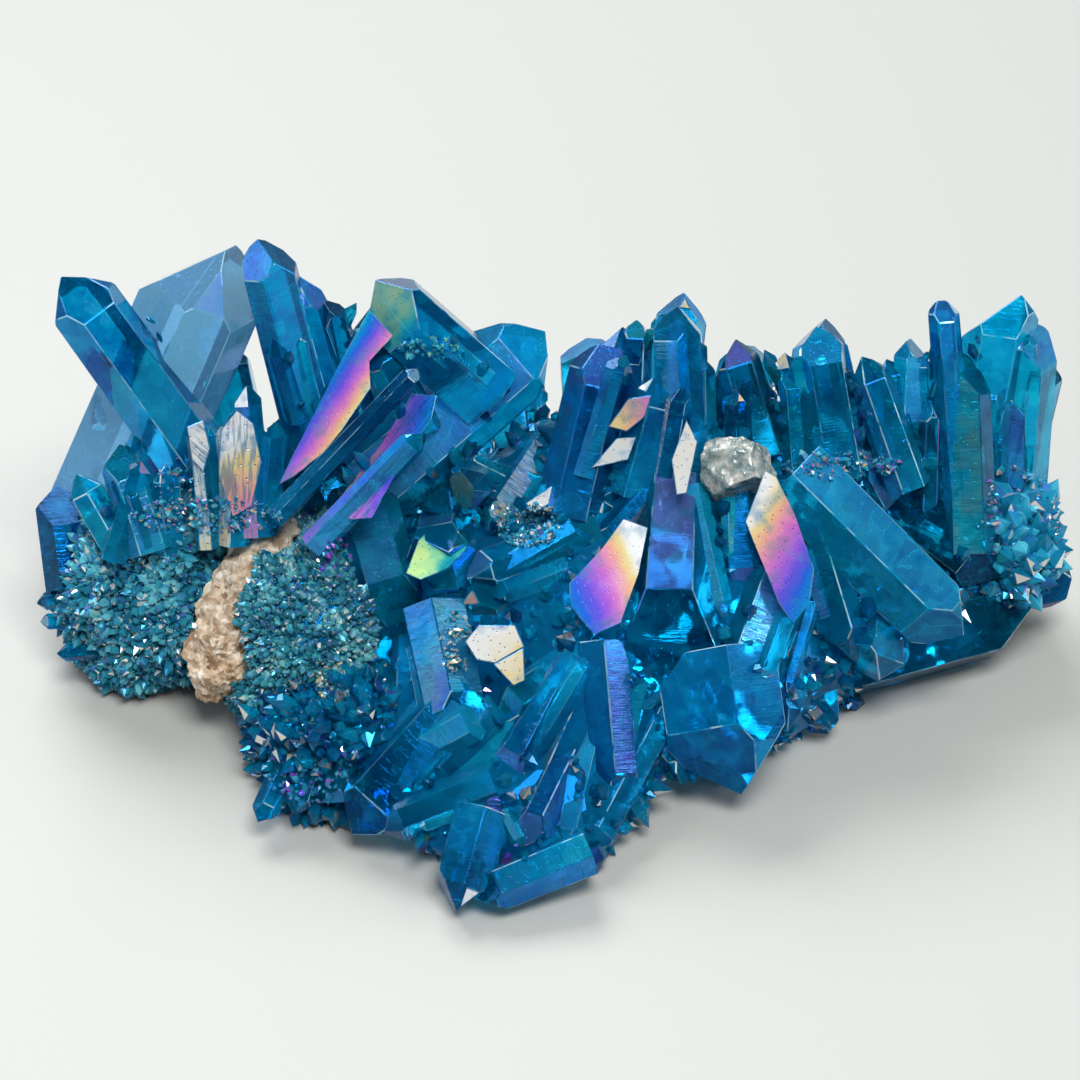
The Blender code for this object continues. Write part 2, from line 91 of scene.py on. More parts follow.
# Each point: foot and tip on the board, width over its flats, roll of its first side from the eye in
# degrees, how flat it is, its taper in degrees, and a tip face cut back by a share of the width.
LEFT_CROWN = [
    Point("left_spear", (-41.4, 10, 26), (-57.2, 31.8, 48), 7.8, roll=8),
    Point("back_giant", (-51.6, 2.6, 12), (-37.5, 35.2, 48), 13.5, roll=12, chisel=(4, 0.25)),
    Point("twin_left", (-27.4, 12, 28), (-33.7, 36, 54), 6.4, roll=20),
    Point("twin_right", (-24, 13, 28), (-29, 31.6, 48.5), 5.2, roll=-10, chisel=(1, 0.3)),
    Point("twin_stub", (-21, 15, 28), (-26, 28.6, 46), 3.8, roll=15),
    Point("chisel_top", (-5.5, 17.4, 33), (-20.2, 30.4, 47), 8.4, roll=25, chisel=(5, 0.3)),
    Point("slab_neighbour", (-15, 15, 32), (-19.6, 23.6, 40), 4.4, roll=5),
    Point("long_blue", (-21, 6.6, 23), (0.6, 25.2, 37), 10.6, roll=0, flat=0.85),
    Point("dark_ribbon", (-30, 4.4, 28), (-14.6, 20.6, 42), 2.6, roll=20),
    Point("ribbon_root", (-25.5, 1, 26), (-14.2, 12.8, 38), 3.0, roll=12),
    Point("gold_tooth", (-36.5, 2, 24), (-36.6, 15.6, 36), 4.2, roll=10),
    Point("white_tooth", (-40, 1.5, 24), (-41.2, 14, 35), 2.6, roll=-12),
    Point("grey_tooth", (-34, 3, 25), (-35.2, 18.6, 38), 3.8, roll=30),
    Point("slim_tooth", (-38.5, 2, 24), (-39.6, 13.8, 34.5), 1.9, roll=4),
    Point("shade_tooth", (-32.5, 4, 26), (-31.6, 14.2, 35), 3.2, roll=15),
    Point("lobe_tooth_a", (-44.5, 1, 22), (-45, 9, 30), 3.4, roll=20),
    Point("lobe_tooth_b", (-47, 0.5, 22), (-50.5, 11.5, 31), 5.0, roll=0, chisel=(0, 0.3)),
    Point("lobe_tooth_c", (-51, 0, 20), (-55.6, 8, 27), 4.2, roll=25),
    Point("pink_flank", (-50.5, 0, 22), (-47.4, 10, 31), 3.0, roll=-20),
    Point("left_bulwark", (-56, -5, 12), (-57.6, 6.5, 21), 6.0, roll=10, chisel=(0, 0.35)),
    Point("left_thorn_a", (-55, -6.5, 10), (-60.4, -7.6, 9), 2.0),
    Point("left_thorn_b", (-54, -9.5, 8), (-60, -9.8, 8), 1.8),
    Point("left_thorn_c", (-52, -13, 6), (-58, -13.6, 6), 2.0),
]

BACK_RIDGE = [
    Point("ridge_stub", (1, 15, 32), (3.2, 22.9, 38), 3.6, roll=10, chisel=(0, 0.4)),
    Point("midnight", (3.2, 3, 25), (8, 23.4, 41.5), 6.6, roll=4, chisel=(0, 0.4)),
    Point("midnight_twin", (8, 12, 29), (10.2, 25.6, 41), 6.4, roll=18),
    Point("midnight_third", (11, 14, 31), (11.6, 26.5, 42), 3.8, roll=0),
    Point("crown_mid", (17.4, 8, 28), (16.4, 28.1, 45), 6.2, roll=28),
    Point("crown_side", (22.2, 10, 29), (19.7, 20.9, 38), 2.6, roll=10),
    Point("striped_flank", (11.5, 7, 28), (15, 19.8, 39), 5.0, roll=12, chisel=(0, 0.4)),
    Point("grey_blade", (15.2, 7, 29), (17.2, 18.4, 39.5), 3.0, roll=-8),
    Point("plum_tip", (26.3, 11, 30), (22.5, 23.9, 41), 5.8, roll=12, chisel=(4, 0.25)),
    Point("plum_foot", (24, 9, 31), (23.6, 18.2, 39), 3.0, roll=20),
    Point("bright_peak", (35.4, 8, 28), (32.6, 25.6, 42), 7.6, roll=20),
    Point("peak_shadow", (32, 12, 29), (29.8, 22.2, 37), 3.4, roll=10),
    Point("peak_stub", (31, 9, 29), (30.1, 20.4, 38.5), 3.0, roll=5, chisel=(0, 0.4)),
    Point("leaning_tip", (43.4, 8.5, 28), (38.6, 22.1, 39.5), 4.8, roll=15),
    Point("leaning_shadow", (44, 11, 27), (41.6, 21.8, 36), 3.4, roll=5),
    Point("clear_chunk", (44.6, 13, 28), (45, 24, 38), 5.0, roll=18, chisel=(1, 0.5)),
]

RIGHT_CROWN = [
    Point("right_tower", (50.5, 1, 20), (48.3, 28.8, 44), 3.8, roll=8, chisel=(0, 0.4)),
    Point("tower_wall", (51.5, -1, 18), (50.8, 23, 38.5), 5.6, roll=0, chisel=(1, 0.5)),
    Point("tower_side", (46.5, 2, 20), (47, 16.4, 33), 3.2, roll=12),
    Point("right_arch", (53, 13, 24), (56.2, 30, 44), 7.8, roll=5, chisel=(4, 0.4)),
    Point("right_shield", (57, 7, 18), (58.7, 26.6, 40.5), 6.4, roll=0, chisel=(1, 0.3)),
    Point("right_edge", (57.5, 8, 18), (61, 21.8, 34), 4.4, roll=10),
    Point("arch_stub", (54.3, 6, 20), (53.9, 19, 33.5), 2.2, chisel=(0, 0.6)),
    Point("arch_knob", (56.6, 6, 20), (56.9, 18.2, 32), 3.6, roll=15, chisel=(1, 0.4)),
]

FRONT_FAN = [
    Point("long_spear", (30.6, 8.0, 29), (50.6, -11.8, 14), 9.0, roll=32, flat=0.9),
    Point("broad_teal", (32, 13.6, 28), (55, -4.6, 15.5), 8.0, roll=-4, flat=0.62, chisel=(0, 0.3)),
    Point("spear_shadow", (33, 0, 22), (37.5, -14.8, 11.5), 6.4, roll=20),
    Point("front_pyramid", (40.6, -11.2, 6), (39.3, -12.8, 15), 8.4, roll=10),
    Point("pyramid_back", (36, 0, 18), (38.4, -10.4, 12), 7.2, roll=8, chisel=(0, 0.5)),
    Point("broken_slab", (33, -14, 6), (62.4, -6.4, 7), 10.4, roll=20, flat=0.9, chisel=(1, 0.5)),
    Point("slab_rim", (50, -2, 10), (63.6, -5.6, 9), 7.0, roll=5, chisel=(0, 0.5)),
    Point("heart", (17, 7, 27), (15.8, -17.2, 16.5), 8.8, roll=5, taper=-2.0, chisel=(0, 0.6)),
    Point("heart_edge_a", (19, 4, 28), (22, -9.4, 20), 2.8, roll=10),
    Point("grey_band", (14.6, 8, 29), (7, -0.6, 23.5), 3.0, roll=0),
    Point("heart_edge_b", (23.5, 4, 27), (24.4, -6.6, 20), 4.8, roll=0),
    Point("heart_edge_c", (21, 0, 24), (19.2, -16, 16), 3.6, roll=18),
    Point("violet_mid", (28.4, -6, 21), (23.4, -19.6, 13), 6.6, roll=-6, flat=0.8),
    Point("needle_a", (32, -10, 16.5), (29.6, -18.4, 12.5), 1.8),
    Point("needle_b", (29, -8, 18), (31.2, -20.4, 9), 2.4, roll=30),
    Point("plumb_column", (33, -6, 15), (34, -23, 2.4), 4.2, roll=24, chisel=(0, 0.6)),
    Point("big_hex", (20.6, -13, 15.6), (23.2, -30.8, 3.8), 13.0, roll=24),
    Point("hex_side", (28, -12, 12), (29.4, -23.5, 6), 5.2, roll=15),
    Point("teal_mid", (17.5, -10, 14), (17, -29.4, 4), 5.0, roll=30),
    Point("lime_hex", (-11, 0.6, 15), (-11.8, -2.6, 26), 8.0, roll=25, chisel=(2, 0.35)),
    Point("small_hex", (-7.2, 8, 20), (-8.6, 6, 29), 5.0, roll=20, chisel=(2, 0.3)),
    Point("left_prism", (-21, 4, 24), (-17, -10, 16.5), 6.8, roll=4, flat=0.8, chisel=(0, 0.5)),
    Point("dark_hex", (-17, -9, 14), (-18.2, -15.4, 13.5), 6.6, roll=12, chisel=(0, 0.7)),
    Point("dotted_blade", (-12.6, -9, 18), (-9.4, -24.2, 10.5), 7.6, roll=26),
    Point("dotted_foot", (-14.6, -14, 13), (-15.4, -25.4, 8), 5.6, roll=10),
    Point("lower_left_spear", (-8, -19, 13), (-22.8, -35.2, 3.4), 8.4, roll=10, flat=0.8),
    Point("spear_twin", (-14, -20, 10), (-27, -31.6, 4), 5.0, roll=20),
    Point("mid_bar", (6, 0, 23), (-10, -8, 19), 6.8, roll=0, flat=0.8),
    Point("mid_bar_low", (6, -14, 15), (-5.6, -22, 12), 5.2, roll=25),
    Point("dark_blade", (7.4, -13.5, 17), (9, -31.6, 5), 5.8, roll=22),
    Point("light_blade", (12.4, -16, 14), (9.8, -29.6, 6), 3.8, roll=10),
    Point("bottom_spear", (14.6, -20, 10), (5.6, -37.4, 3), 4.4, roll=26),
    Point("front_toe", (-7.2, -33.5, 7.5), (-10.2, -44.6, 1.4), 6.6, roll=26, chisel=(1, 0.2)),
    Point("front_sill", (3.4, -38.4, 4.6), (-8, -43, 2.4), 4.6, roll=20),
    Point("dark_plate", (-8, -30, 8), (-19.8, -34.8, 4.6), 5.2, roll=0),
    Point("fan_a", (4, -16, 15), (-5, -30, 7.5), 6.0, roll=14),
    Point("fan_b", (5, -20, 12), (-2, -35.4, 5), 4.6, roll=-10),
    Point("fan_c", (6, -24, 10), (3, -37, 4.4), 3.6, roll=10),
    Point("fan_d", (-3, -22, 11), (-11.6, -33.6, 5.6), 5.2, roll=22),
    Point("left_tip", (7, 4, 24), (2.6, -2.6, 23), 5.2, roll=0),
    Point("diamond_tip", (6.4, 9, 25), (7.4, 1.6, 24.5), 3.6, roll=12),
    Point("grey_face", (0.6, 11.5, 26), (-6.4, 1, 23.5), 3.4, roll=0, flat=0.7),
    Point("deep_blade_a", (10, 7, 26), (1.6, 2.6, 25.4), 4.2, roll=18),
    Point("deep_blade_b", (-2, 5, 22), (-14.6, 3.8, 23.5), 5.4, roll=10),
]

# Broad faces of stout broken points, each drawn by its outline on the board and three pins, board places
# with heights that set its plane. Its film colour, a painted reflection, runs from one board place to
# another, as a gleam's does; a film near 0 paints a white highlight. The block behind it narrows to a share
# of it at its depth; its edges are worn flat by a width, and the painted film reflection shows this
# strongly on the face and faintly on its flanks, with this much wear on its edges, which also paints a pale
# highlight there.
BroadFace = namedtuple("BroadFace", "name outline pins start finish film depth streaked",
                       defaults=(9.0, False))
BROAD_FACES = [
    BroadFace("sunset_left", [(10, 2.6), (13, 1.5), (11.8, -4), (9.7, -10), (6.5, -11.4), (3.6, -8),
                              (3.5, -5.2), (7.5, -1)],
              [(11.5, 2, 28), (8.5, -10.5, 21.5), (3.6, -7, 22.5)], (10.6, -4), (4.4, -6.4), (0.15, 0.70)),
    BroadFace("sunset_right", [(27, 8.4), (28.4, 7.6), (30.6, 3), (32.9, -3.5), (32.4, -7.5),
                               (30.4, -10.2), (28.6, -7.5), (26.6, -2.5), (24.6, 2.2)],
              [(27.6, 8, 34.5), (30, -8, 24), (25, 1.5, 30)], (26, 1), (33.4, -3), (0.13, 0.74)),
    BroadFace("violet_slab", [(-31.5, 6.5), (-29.5, 7.6), (-26, 10.4), (-23.8, 13.2), (-20.3, 18.2),
                              (-20.6, 21.5), (-17.6, 24.5), (-20.5, 27.7), (-24.5, 20.3), (-28.4, 12.6)],
              [(-31, 7, 30.5), (-20, 26.5, 44.5), (-24, 14.5, 36.2)], (-23.6, 13.8), (-26.8, 15.9),
              (0.12, 0.72)),
    BroadFace("violet_ribbon", [(-24.6, 4.4), (-19, 11.4), (-15.4, 17.6), (-12.4, 17.4), (-13, 14.6),
                                (-17, 8.6), (-20.2, 2.6), (-22.8, 2.4)],
              [(-23.5, 3.3, 28.5), (-13.5, 17, 39), (-20, 9, 32.4)], (-21, 9.4), (-15.6, 7.8),
              (0.30, 0.74), 8.0, True),
    BroadFace("lime_face", [(-16.1, -4), (-14.6, 0), (-13.1, 1.7), (-8.6, -0.8), (-10.9, -3.3),
                            (-14.3, -4.8)],
              [(-16, -4, 26.4), (-13, 1.7, 27.0), (-8.6, -0.8, 26.2)], (-15.6, -2), (-9, -1.6),
              (0.99, 0.9)),
    BroadFace("silver_step", [(-9, -12.2), (-7.4, -10.2), (-3, -10.2), (-1.9, -12.8), (-5.4, -14.8),
                              (-7.6, -14.4)],
              [(-9, -12, 20.5), (-3, -10.2, 21.6), (-5, -14.6, 18.6)], (-8, -12), (-3, -13), (0.0, 0.06)),
    BroadFace("gold_step", [(-5.6, -14.9), (-2, -13), (-1.8, -16.9), (-3.2, -17.5)],
              [(-5.6, -14.7, 18.8), (-2, -13, 19.8), (-3, -17.4, 16.8)], (-5, -14), (-2, -17),
              (0.04, 0.13)),
    BroadFace("white_shard", [(6.1, 8.6), (9.2, 12.2), (11.6, 12.4), (10.6, 9.6)],
              [(6.1, 8.6, 32), (11.6, 12.4, 35), (10.6, 9.6, 32.4)], (6, 9), (11, 11), (0.0, 0.02)),
    BroadFace("white_splinter", [(-1.8, 4.4), (2.8, 7.4), (3, 5.6), (-0.6, 3.2)],
              [(-1.8, 4.4, 27.6), (2.8, 7.4, 29.8), (3, 5.6, 28.4)], (-1, 4), (3, 6), (0.0, 0.03)),
    BroadFace("white_blade", [(15.8, 9.6), (17.6, 14.4), (18.9, 11.8), (17.6, 5.6), (16.4, 5.4)],
              [(16.4, 5.4, 33), (17.6, 14.4, 39.4), (18.9, 11.8, 36.8)], (16, 6), (18, 14), (0.0, 0.04)),
    BroadFace("gold_chip", [(8.2, 13.6), (10.6, 17), (13.4, 17.4), (12.6, 14.8), (10.4, 13)],
              [(8.2, 13.6, 35.5), (13.4, 17.4, 38.6), (12.6, 14.8, 36.4)], (8, 14), (13, 16), (0.06, 0.34)),
    BroadFace("gold_crumple", [(-38.3, 13.2), (-36.4, 15.6), (-34.4, 14), (-33.4, 9.3), (-34.6, 4),
                               (-36.9, 2.7), (-38.6, 8)],
              [(-36.9, 2.7, 26.2), (-36.4, 15.6, 38.2), (-33.4, 9.3, 32.2)], (-38.5, 12), (-34, 4),
              (0.0, 0.3), 4.0, True),
    BroadFace("white_crumple", [(-42.4, 13.6), (-40.4, 14.4), (-39.6, 11), (-40.4, 8.2), (-41.8, 9.6)],
              [(-42.4, 13.6, 36), (-39.6, 11, 33.6), (-40.4, 8.2, 31)], (-42, 14), (-40, 8),
              (0.0, 0.03), 4.0, True),
]
BROAD_BACK = 0.72
BROAD_WEAR = 0.12
BROAD_STRENGTH = 0.96
BROAD_FLANK = 0.1
BROAD_EDGE = 0.6

# Bundles of lesser points that fill the room between the named ones. Each has a leading foot and tip on
# the board, how many points there are, their width, and how far the feet and tips stray over the board;
# their heights stray by a share of that.
Bundle = namedtuple("Bundle", "name foot tip count width stray")
BUNDLES = [
    Bundle("hub_left", (3, 5, 22), (-8, 7, 25), 4, (3.2, 5.0), (2.4, 3.4)),
    Bundle("hub_low", (5, 0, 22), (-8, -1.4, 22), 4, (3.2, 5.0), (2.4, 3.4)),
    Bundle("heart_foot", (10, -12, 16), (13.4, -23, 8), 3, (3.6, 4.8), (2.0, 2.4)),
    Bundle("apron", (1, -23, 10), (-4, -35.5, 5), 5, (3.4, 5.4), (3.0, 4.0)),
    Bundle("apron_left", (-12, -21, 12), (-20, -29, 7), 3, (3.6, 5.2), (2.6, 3.4)),
    Bundle("wall_foot", (-24, -21, 8), (-30, -30, 3.4), 6, (2.6, 4.0), (3.6, 4.4)),
    Bundle("right_seat", (40, 4, 22), (41, 13, 30), 3, (3.0, 4.4), (2.6, 3.0)),
]
STRAY_SHARES = (1, 1, 0.4)

# The back of the cluster, in table millimetres: x, y, z.
REAR_POINTS = [
    Point("rear_a", (-46, 10, 14), (-52, 23, 24), 6.4, roll=10),
    Point("rear_b", (-36, 12, 17), (-40, 26, 31), 7.6, roll=25),
    Point("rear_c", (-28, 14, 18), (-27, 30, 26), 5.6, roll=5),
    Point("rear_d", (-19, 15, 20), (-20, 27, 36), 7.0, roll=20),
    Point("rear_e", (-10, 16, 16), (-12, 35, 22), 8.2, roll=40),
    Point("rear_f", (-2, 16, 20), (-3, 30, 28), 6.2, roll=12),
    Point("rear_g", (7, 17, 20), (6, 33, 26), 8.0, roll=33),
    Point("rear_h", (16, 16, 26), (18, 27, 37), 5.8, roll=8),
    Point("rear_i", (23, 16, 20), (27, 32, 25), 7.4, roll=21),
    Point("rear_j", (33, 14, 24), (35, 26, 34), 6.2, roll=50),
    Point("rear_k", (41, 14, 18), (47, 27, 24), 7.6, roll=14),
    Point("rear_l", (50, 12, 16), (57, 22, 27), 5.6, roll=30),
    Point("rear_low_a", (-40, 12, 7), (-47, 24, 7), 6.2, roll=35),
    Point("rear_low_b", (-26, 14, 7), (-29, 29, 8), 8.4, roll=10),
    Point("rear_low_c", (-12, 16, 7), (-14, 31, 8), 5.6, roll=0),
    Point("rear_low_d", (1, 16, 8), (0, 35, 10), 7.4, roll=24),
    Point("rear_low_e", (14, 16, 7), (17, 34, 7), 8.6, roll=44),
    Point("rear_low_f", (30, 15, 8), (35, 30, 9), 6.6, roll=18),
    Point("rear_low_g", (44, 12, 7), (52, 22, 9), 7.0, roll=28),
]

# Lumps of crust in table millimetres: centre, radii, and the druse that covers them, as the number of
# tiny points on a square millimetre, their width, and how green their blue is.
Lump = namedtuple("Lump", "name centre radii density width hue", defaults=(0.5,))
CRUST_LUMPS = [
    Lump("mound", (10, 2, 7), (32, 24, 19), 0.2, (1.0, 3.0)),
    Lump("ridge_core", (21, 10, 20), (28, 9, 12.5), 0.16, (1.2, 3.2)),
    Lump("front_apron", (-3, -21, 3), (17, 17, 8.5), 0.16, (1.2, 2.8)),
    Lump("wall_foot", (-22, -15, 4), (12, 13.5, 9), 2.4, (0.5, 2.2), 0.2),
    Lump("left_lobe", (-45.6, 4.5, 9), (13.6, 12, 13.6), 9.0, (0.26, 1.2), 0.6),
    Lump("neck", (-27, -3, 8), (12, 15, 14.5), 10.0, (0.26, 1.0), 0.9),
    Lump("neck_back", (-28, 11, 11), (20, 9, 16), 0.3, (1.4, 3.2)),
    Lump("right_mass", (44, 8, 8), (14, 13, 12), 0.25, (1.6, 3.4)),
    Lump("right_crust", (55.5, 8, 12), (7.4, 8.6, 9), 1.7, (0.9, 3.0), 0.1),
]
LUMP_DETAIL = 3
LUMP_BUMP = 2.2
LUMP_BUMP_SIZE = 5.5
NOISE_SHIFT = Vector((0.37, 0.37, 0.37))

# The bare host stone follows this bend down the cleft: board places of its top, middle and foot.
STONE_SPINE = [(-31.4, 3, 23), (-36.0, -8, 15.4), (-39.4, -19, 4.4)]
STONE_RADII = (4.9, 5.0)
STONE_BUMP = 1.2
STONE_BUMP_SIZE = 3.2
STONE_GAP = 0.4

TABLE_CUTTER_SIZE = 200


# ---- places --------------------------------------------------------------------------------------

def spot(across, up, height):
    """The place at a height above the table that the eye sees at a spot on the drawing board."""
    on_board = BOARD_MIDDLE + Vector((across, 0, 0)) + BOARD_LEAN * up
    sight = on_board - EYE
    return EYE + sight * ((height - EYE.z) / sight.z)


def seen_at(place):
    """Where on the drawing board the eye sees a place: across and up."""
    sight = place - EYE
    seen = EYE + sight * (EYE_DISTANCE / -sight.dot(TO_EYE)) - BOARD_MIDDLE
    return Vector((seen.x, seen.dot(BOARD_LEAN)))


# ---- one quartz point ----------------------------------------------------------------------------

def keep_inside(mesh, place, outward):
    """Cut the mesh by a plane, drop what lies beyond it and close the cut."""
    everything = mesh.verts[:] + mesh.edges[:] + mesh.faces[:]
    cut = bmesh.ops.bisect_plane(mesh, geom=everything, dist=1e-5, plane_co=place,
                                 plane_no=outward, clear_outer=True)
    rim = [piece for piece in cut["geom_cut"] if isinstance(piece, bmesh.types.BMEdge)]
    if rim:
        bmesh.ops.contextual_create(mesh, geom=rim)


def side_direction(index, lift=0.0):
    """The way that one of the six sides faces, with a lift towards the tip."""
    turn = math.radians(60 * index)
    across = Vector((math.cos(turn), math.sin(turn), 0))
    return across * math.cos(lift) + Vector((0, 0, math.sin(lift)))


def quartz_point_mesh(point, length):
    """A six-sided prism with a six-faced tip, cut from a block, standing on its foot along +Z."""
    own = random.Random(point.name)
    mesh = bmesh.new()
    block = Matrix.Diagonal((3 * point.width, 3 * point.width, length + 2 * point.width, 1))
    bmesh.ops.create_cube(mesh, size=1, matrix=block)
    bmesh.ops.translate(mesh, verts=mesh.verts, vec=(0, 0, block[2][2] / 2 - ROOT_LENGTH))
    for index in range(6):
        reach = point.width / 2 * (1 + own.uniform(-FACE_VARIETY, FACE_VARIETY))
        if index in (0, 3):
            reach *= point.flat
        outward = side_direction(index, math.radians(point.taper))
        keep_inside(mesh, side_direction(index) * reach, outward)
    major = own.randrange(2)
    for index in range(6):
        setback = own.uniform(*(MAJOR_SETBACK if index % 2 == major else MINOR_SETBACK))
        if point.width < SLIM_WIDTH and index % 2 == major:
            setback = 0
        if point.width < SLIM_WIDTH and index % 2 != major:
            setback = -own.uniform(*SLIM_SETBACK)
        if point.chisel and point.chisel[0] == index:
            setback += point.chisel[1]
        outward = side_direction(index, math.pi / 2 - TIP_FACE_TILT)
        keep_inside(mesh, Vector((0, 0, length - setback * point.width)), outward)
    rise = length - max(vert.co.z for vert in mesh.verts)
    bmesh.ops.translate(mesh, verts=mesh.verts, vec=(0, 0, rise))
    bmesh.ops.recalc_face_normals(mesh, faces=mesh.faces)
    return mesh


def wear_edges(mesh, width):
    """Flatten every edge but those of the root, and return the narrow faces that this leaves."""
    edges = [edge for edge in mesh.edges
             if min(vert.co.z for vert in edge.verts) > -ROOT_LENGTH + ROOT_MARGIN]
    sides = [edge for edge in mesh.edges if abs(edge.verts[0].co.z - edge.verts[1].co.z) > ROOT_LENGTH]
    chosen = list(set(edges) | set(sides))
    offset = min(WORN_EDGE, width * WORN_EDGE_SHARE)
    worn = bmesh.ops.bevel(mesh, geom=chosen, offset=offset, offset_type="OFFSET", segments=1,
                           profile=0.5, affect="EDGES", clamp_overlap=True)
    return set(worn["faces"])


# ---- what is known of each facet -------------------------------------------------------------------

# The film of gold shifts through its colours from 0, silver, over gold, pink, violet and blue, to 1, lime.
# A gleam is a facet with a painted reflection in the film's colours: the board place that picks the facet,
# the two board places between which the film runs, its values there, and how strongly the painted
# reflection shows. A facet has to face the eye by this much and be larger than this many square
# millimetres.
Gleam = namedtuple("Gleam", "name at start finish film strength")
GLEAM_FACING = 0.1
GLEAM_AREA = 0.8
GLEAMS = [
    Gleam("chisel_top", (-17.5, 27.6), (-17, 29), (-10, 22), (0.97, 0.76), 0.6),
    Gleam("back_giant", (-41, 24), (-44, 30), (-38, 20), (0.56, 0.84), 0.42),
    Gleam("twin_right", (-28, 28), (-30, 34), (-25, 22), (0.62, 0.50), 0.3),
    Gleam("gold_tooth", (-36.5, 9), (-36, 15), (-37, 5), (0.02, 0.14), 0.85),
    Gleam("white_tooth", (-40.5, 8), (-41, 14), (-40, 4), (0.0, 0.08), 0.8),
    Gleam("pink_flank", (-48, 7), (-47, 10), (-50, 3), (0.30, 0.62), 0.8),
    Gleam("ribbon_root", (-20, 7), (-25, 1), (-15, 12), (0.5, 0.76), 0.8),
    Gleam("grey_tooth", (-34.6, 11), (-34, 4), (-35, 18), (0.3, 0.7), 0.6),
    Gleam("shade_tooth", (-32, 9), (-32, 4), (-32, 14), (0.6, 0.9), 0.6),
    Gleam("lime_hex", (-9.4, -2.6), (-13, -5), (-8, -2), (0.70, 0.80), 0.4),
    Gleam("small_hex", (-9, 5), (-10, 8), (-8, 3), (0.98, 0.92), 0.4),
    Gleam("heart_edge_a", (21, -6), (20, 2), (22, -9), (0.10, 0.52), 0.8),
    Gleam("heart_edge_b", (24, -3), (23, 2), (25, -6), (0.50, 0.58), 0.4),
    Gleam("heart", (15.5, -9), (16, -3), (16, -14), (0.56, 0.90), 0.18),
    Gleam("heart", (17, -1), (15, 4), (18, -4), (0.50, 0.60), 0.35),
    Gleam("grey_band", (10.5, 3), (13, 6), (8, 0), (0.0, 0.02), 0.45),
    Gleam("grey_face", (-3, 6), (0, 11), (-6, 1), (0.0, 0.04), 0.4),
    Gleam("grey_blade", (16, 13), (15, 7), (17, 18), (0.0, 0.03), 0.5),
    Gleam("diamond_tip", (7, 4), (6, 6), (7, 2), (0.0, 0.12), 0.9),
    Gleam("mid_bar", (-8, -8), (-9, -7.5), (-6, -9), (0.20, 0.32), 0.7),
    Gleam("dotted_blade", (-12, -16), (-14.2, -15), (-11, -16), (0.16, 0.62), 0.15),
    Gleam("violet_mid", (25, -12), (27, -6), (24, -18), (0.52, 0.66), 0.35),
    Gleam("needle_b", (30.5, -15), (30, -12), (31, -19), (0.0, 0.06), 0.9),
    Gleam("big_hex", (27, -23), (26, -21), (30, -25), (0.90, 0.82), 0.4),
    Gleam("front_pyramid", (41, -14.5), (39, -13), (43, -14), (0.0, 0.05), 0.7),
    Gleam("tower_side", (49, 2), (47, 4), (50, 1), (0.40, 0.84), 0.6),
    Gleam("bright_peak", (34, 20), (33, 25), (35, 16), (0.84, 0.70), 0.35),
    Gleam("plum_tip", (23, 22), (22, 24), (25, 17), (0.52, 0.62), 0.45),
    Gleam("midnight", (6, 19), (8, 23), (4, 12), (0.60, 0.68), 0.3),
    Gleam("fan_a", (-3, -26), (-1, -20), (-5, -29), (0.4, 0.6), 0.3),
    Gleam("rear_e", (-12, 30), (-12, 34), (-12, 20), (0.15, 0.6), 0.6),
    Gleam("rear_g", (6, 30), (6, 33), (6, 20), (0.3, 0.8), 0.6),
]

# How deep the blue of a point is, from 0, pale, to 1, navy, where it isn't left to chance.
DEPTHS = {
    "back_giant": -0.62, "left_spear": 0.45, "long_blue": 0.25, "twin_left": 0.5, "twin_right": 0.55,
    "midnight": 0.95, "midnight_twin": 0.95, "midnight_third": 0.9, "plum_tip": 0.8, "leaning_tip": 0.6,
    "bright_peak": 0.45, "crown_mid": 0.5, "long_spear": 0.3, "broad_teal": 0.35, "broken_slab": 0.4,
    "spear_shadow": 0.5, "front_pyramid": 0.3, "big_hex": 0.6, "dark_blade": 0.85, "dark_hex": 0.9,
    "heart": 0.8, "right_arch": 0.3, "right_tower": 0.6, "tower_wall": 0.6, "dark_ribbon": 0.9,
    "lower_left_spear": 0.35, "front_toe": 0.4, "front_sill": 0.4,
}
CHANCE_DEPTH = (0.1, 0.75)

# How green the blue of a point is, from 0, azure, to 1, teal.
HUES = {
    "back_giant": 0.1, "long_spear": 0.45, "broad_teal": 0.5, "broken_slab": 0.5, "heart": 0.7,
    "teal_mid": 0.8, "grey_face": 0.9, "long_blue": 0.1, "left_spear": 0.1, "midnight": 0.0,
    "big_hex": 0.1, "lower_left_spear": 0.3, "front_toe": 0.1, "front_sill": 0.15, "mid_bar": 0.9,
    "mid_bar_low": 0.9, "left_prism": 0.7,
}
CHANCE_HUE = (0.1, 0.8)

# The share of facets that get a painted film reflection by chance, how strongly, its colours and how they
# drift over a facet; and the share of small tip facets, in square millimetres, that get a painted glint,
# silver to gold, and how strongly.
CHANCE_GLEAM = 0.22
CHANCE_STRENGTH = (0.05, 0.34)
CHANCE_FILM = (0.54, 0.9)
GLINT_CHANCE = 0.05
GLINT_AREA = 9.0
GLINT_COLOURS = (0.0, 0.1)
GLINT_STRENGTH = (0.4, 0.9)
FILM_DRIFT = 0.1

# Points whose growth lines run along them, as they do on flattened twins. The pace across these lines is
# a share of the usual one, which makes them wider.
STREAKED = {"dark_ribbon", "ribbon_root", "gold_tooth", "white_tooth", "grey_tooth", "slim_tooth",
            "shade_tooth", "pink_flank"}
STREAK_PACE = 0.5

# Points whose sides are smooth, and points whose worn edges all carry a pale painted highlight.
SMOOTH = {"long_spear", "broad_teal", "heart", "back_giant", "left_spear", "broken_slab", "lime_hex",
          "big_hex", "lower_left_spear", "front_pyramid", "right_arch"}
BRIGHT_EDGED = {"long_spear", "big_hex", "left_spear", "long_blue", "slab_rim", "lime_hex",
                "right_arch", "chisel_top", "lower_left_spear"}

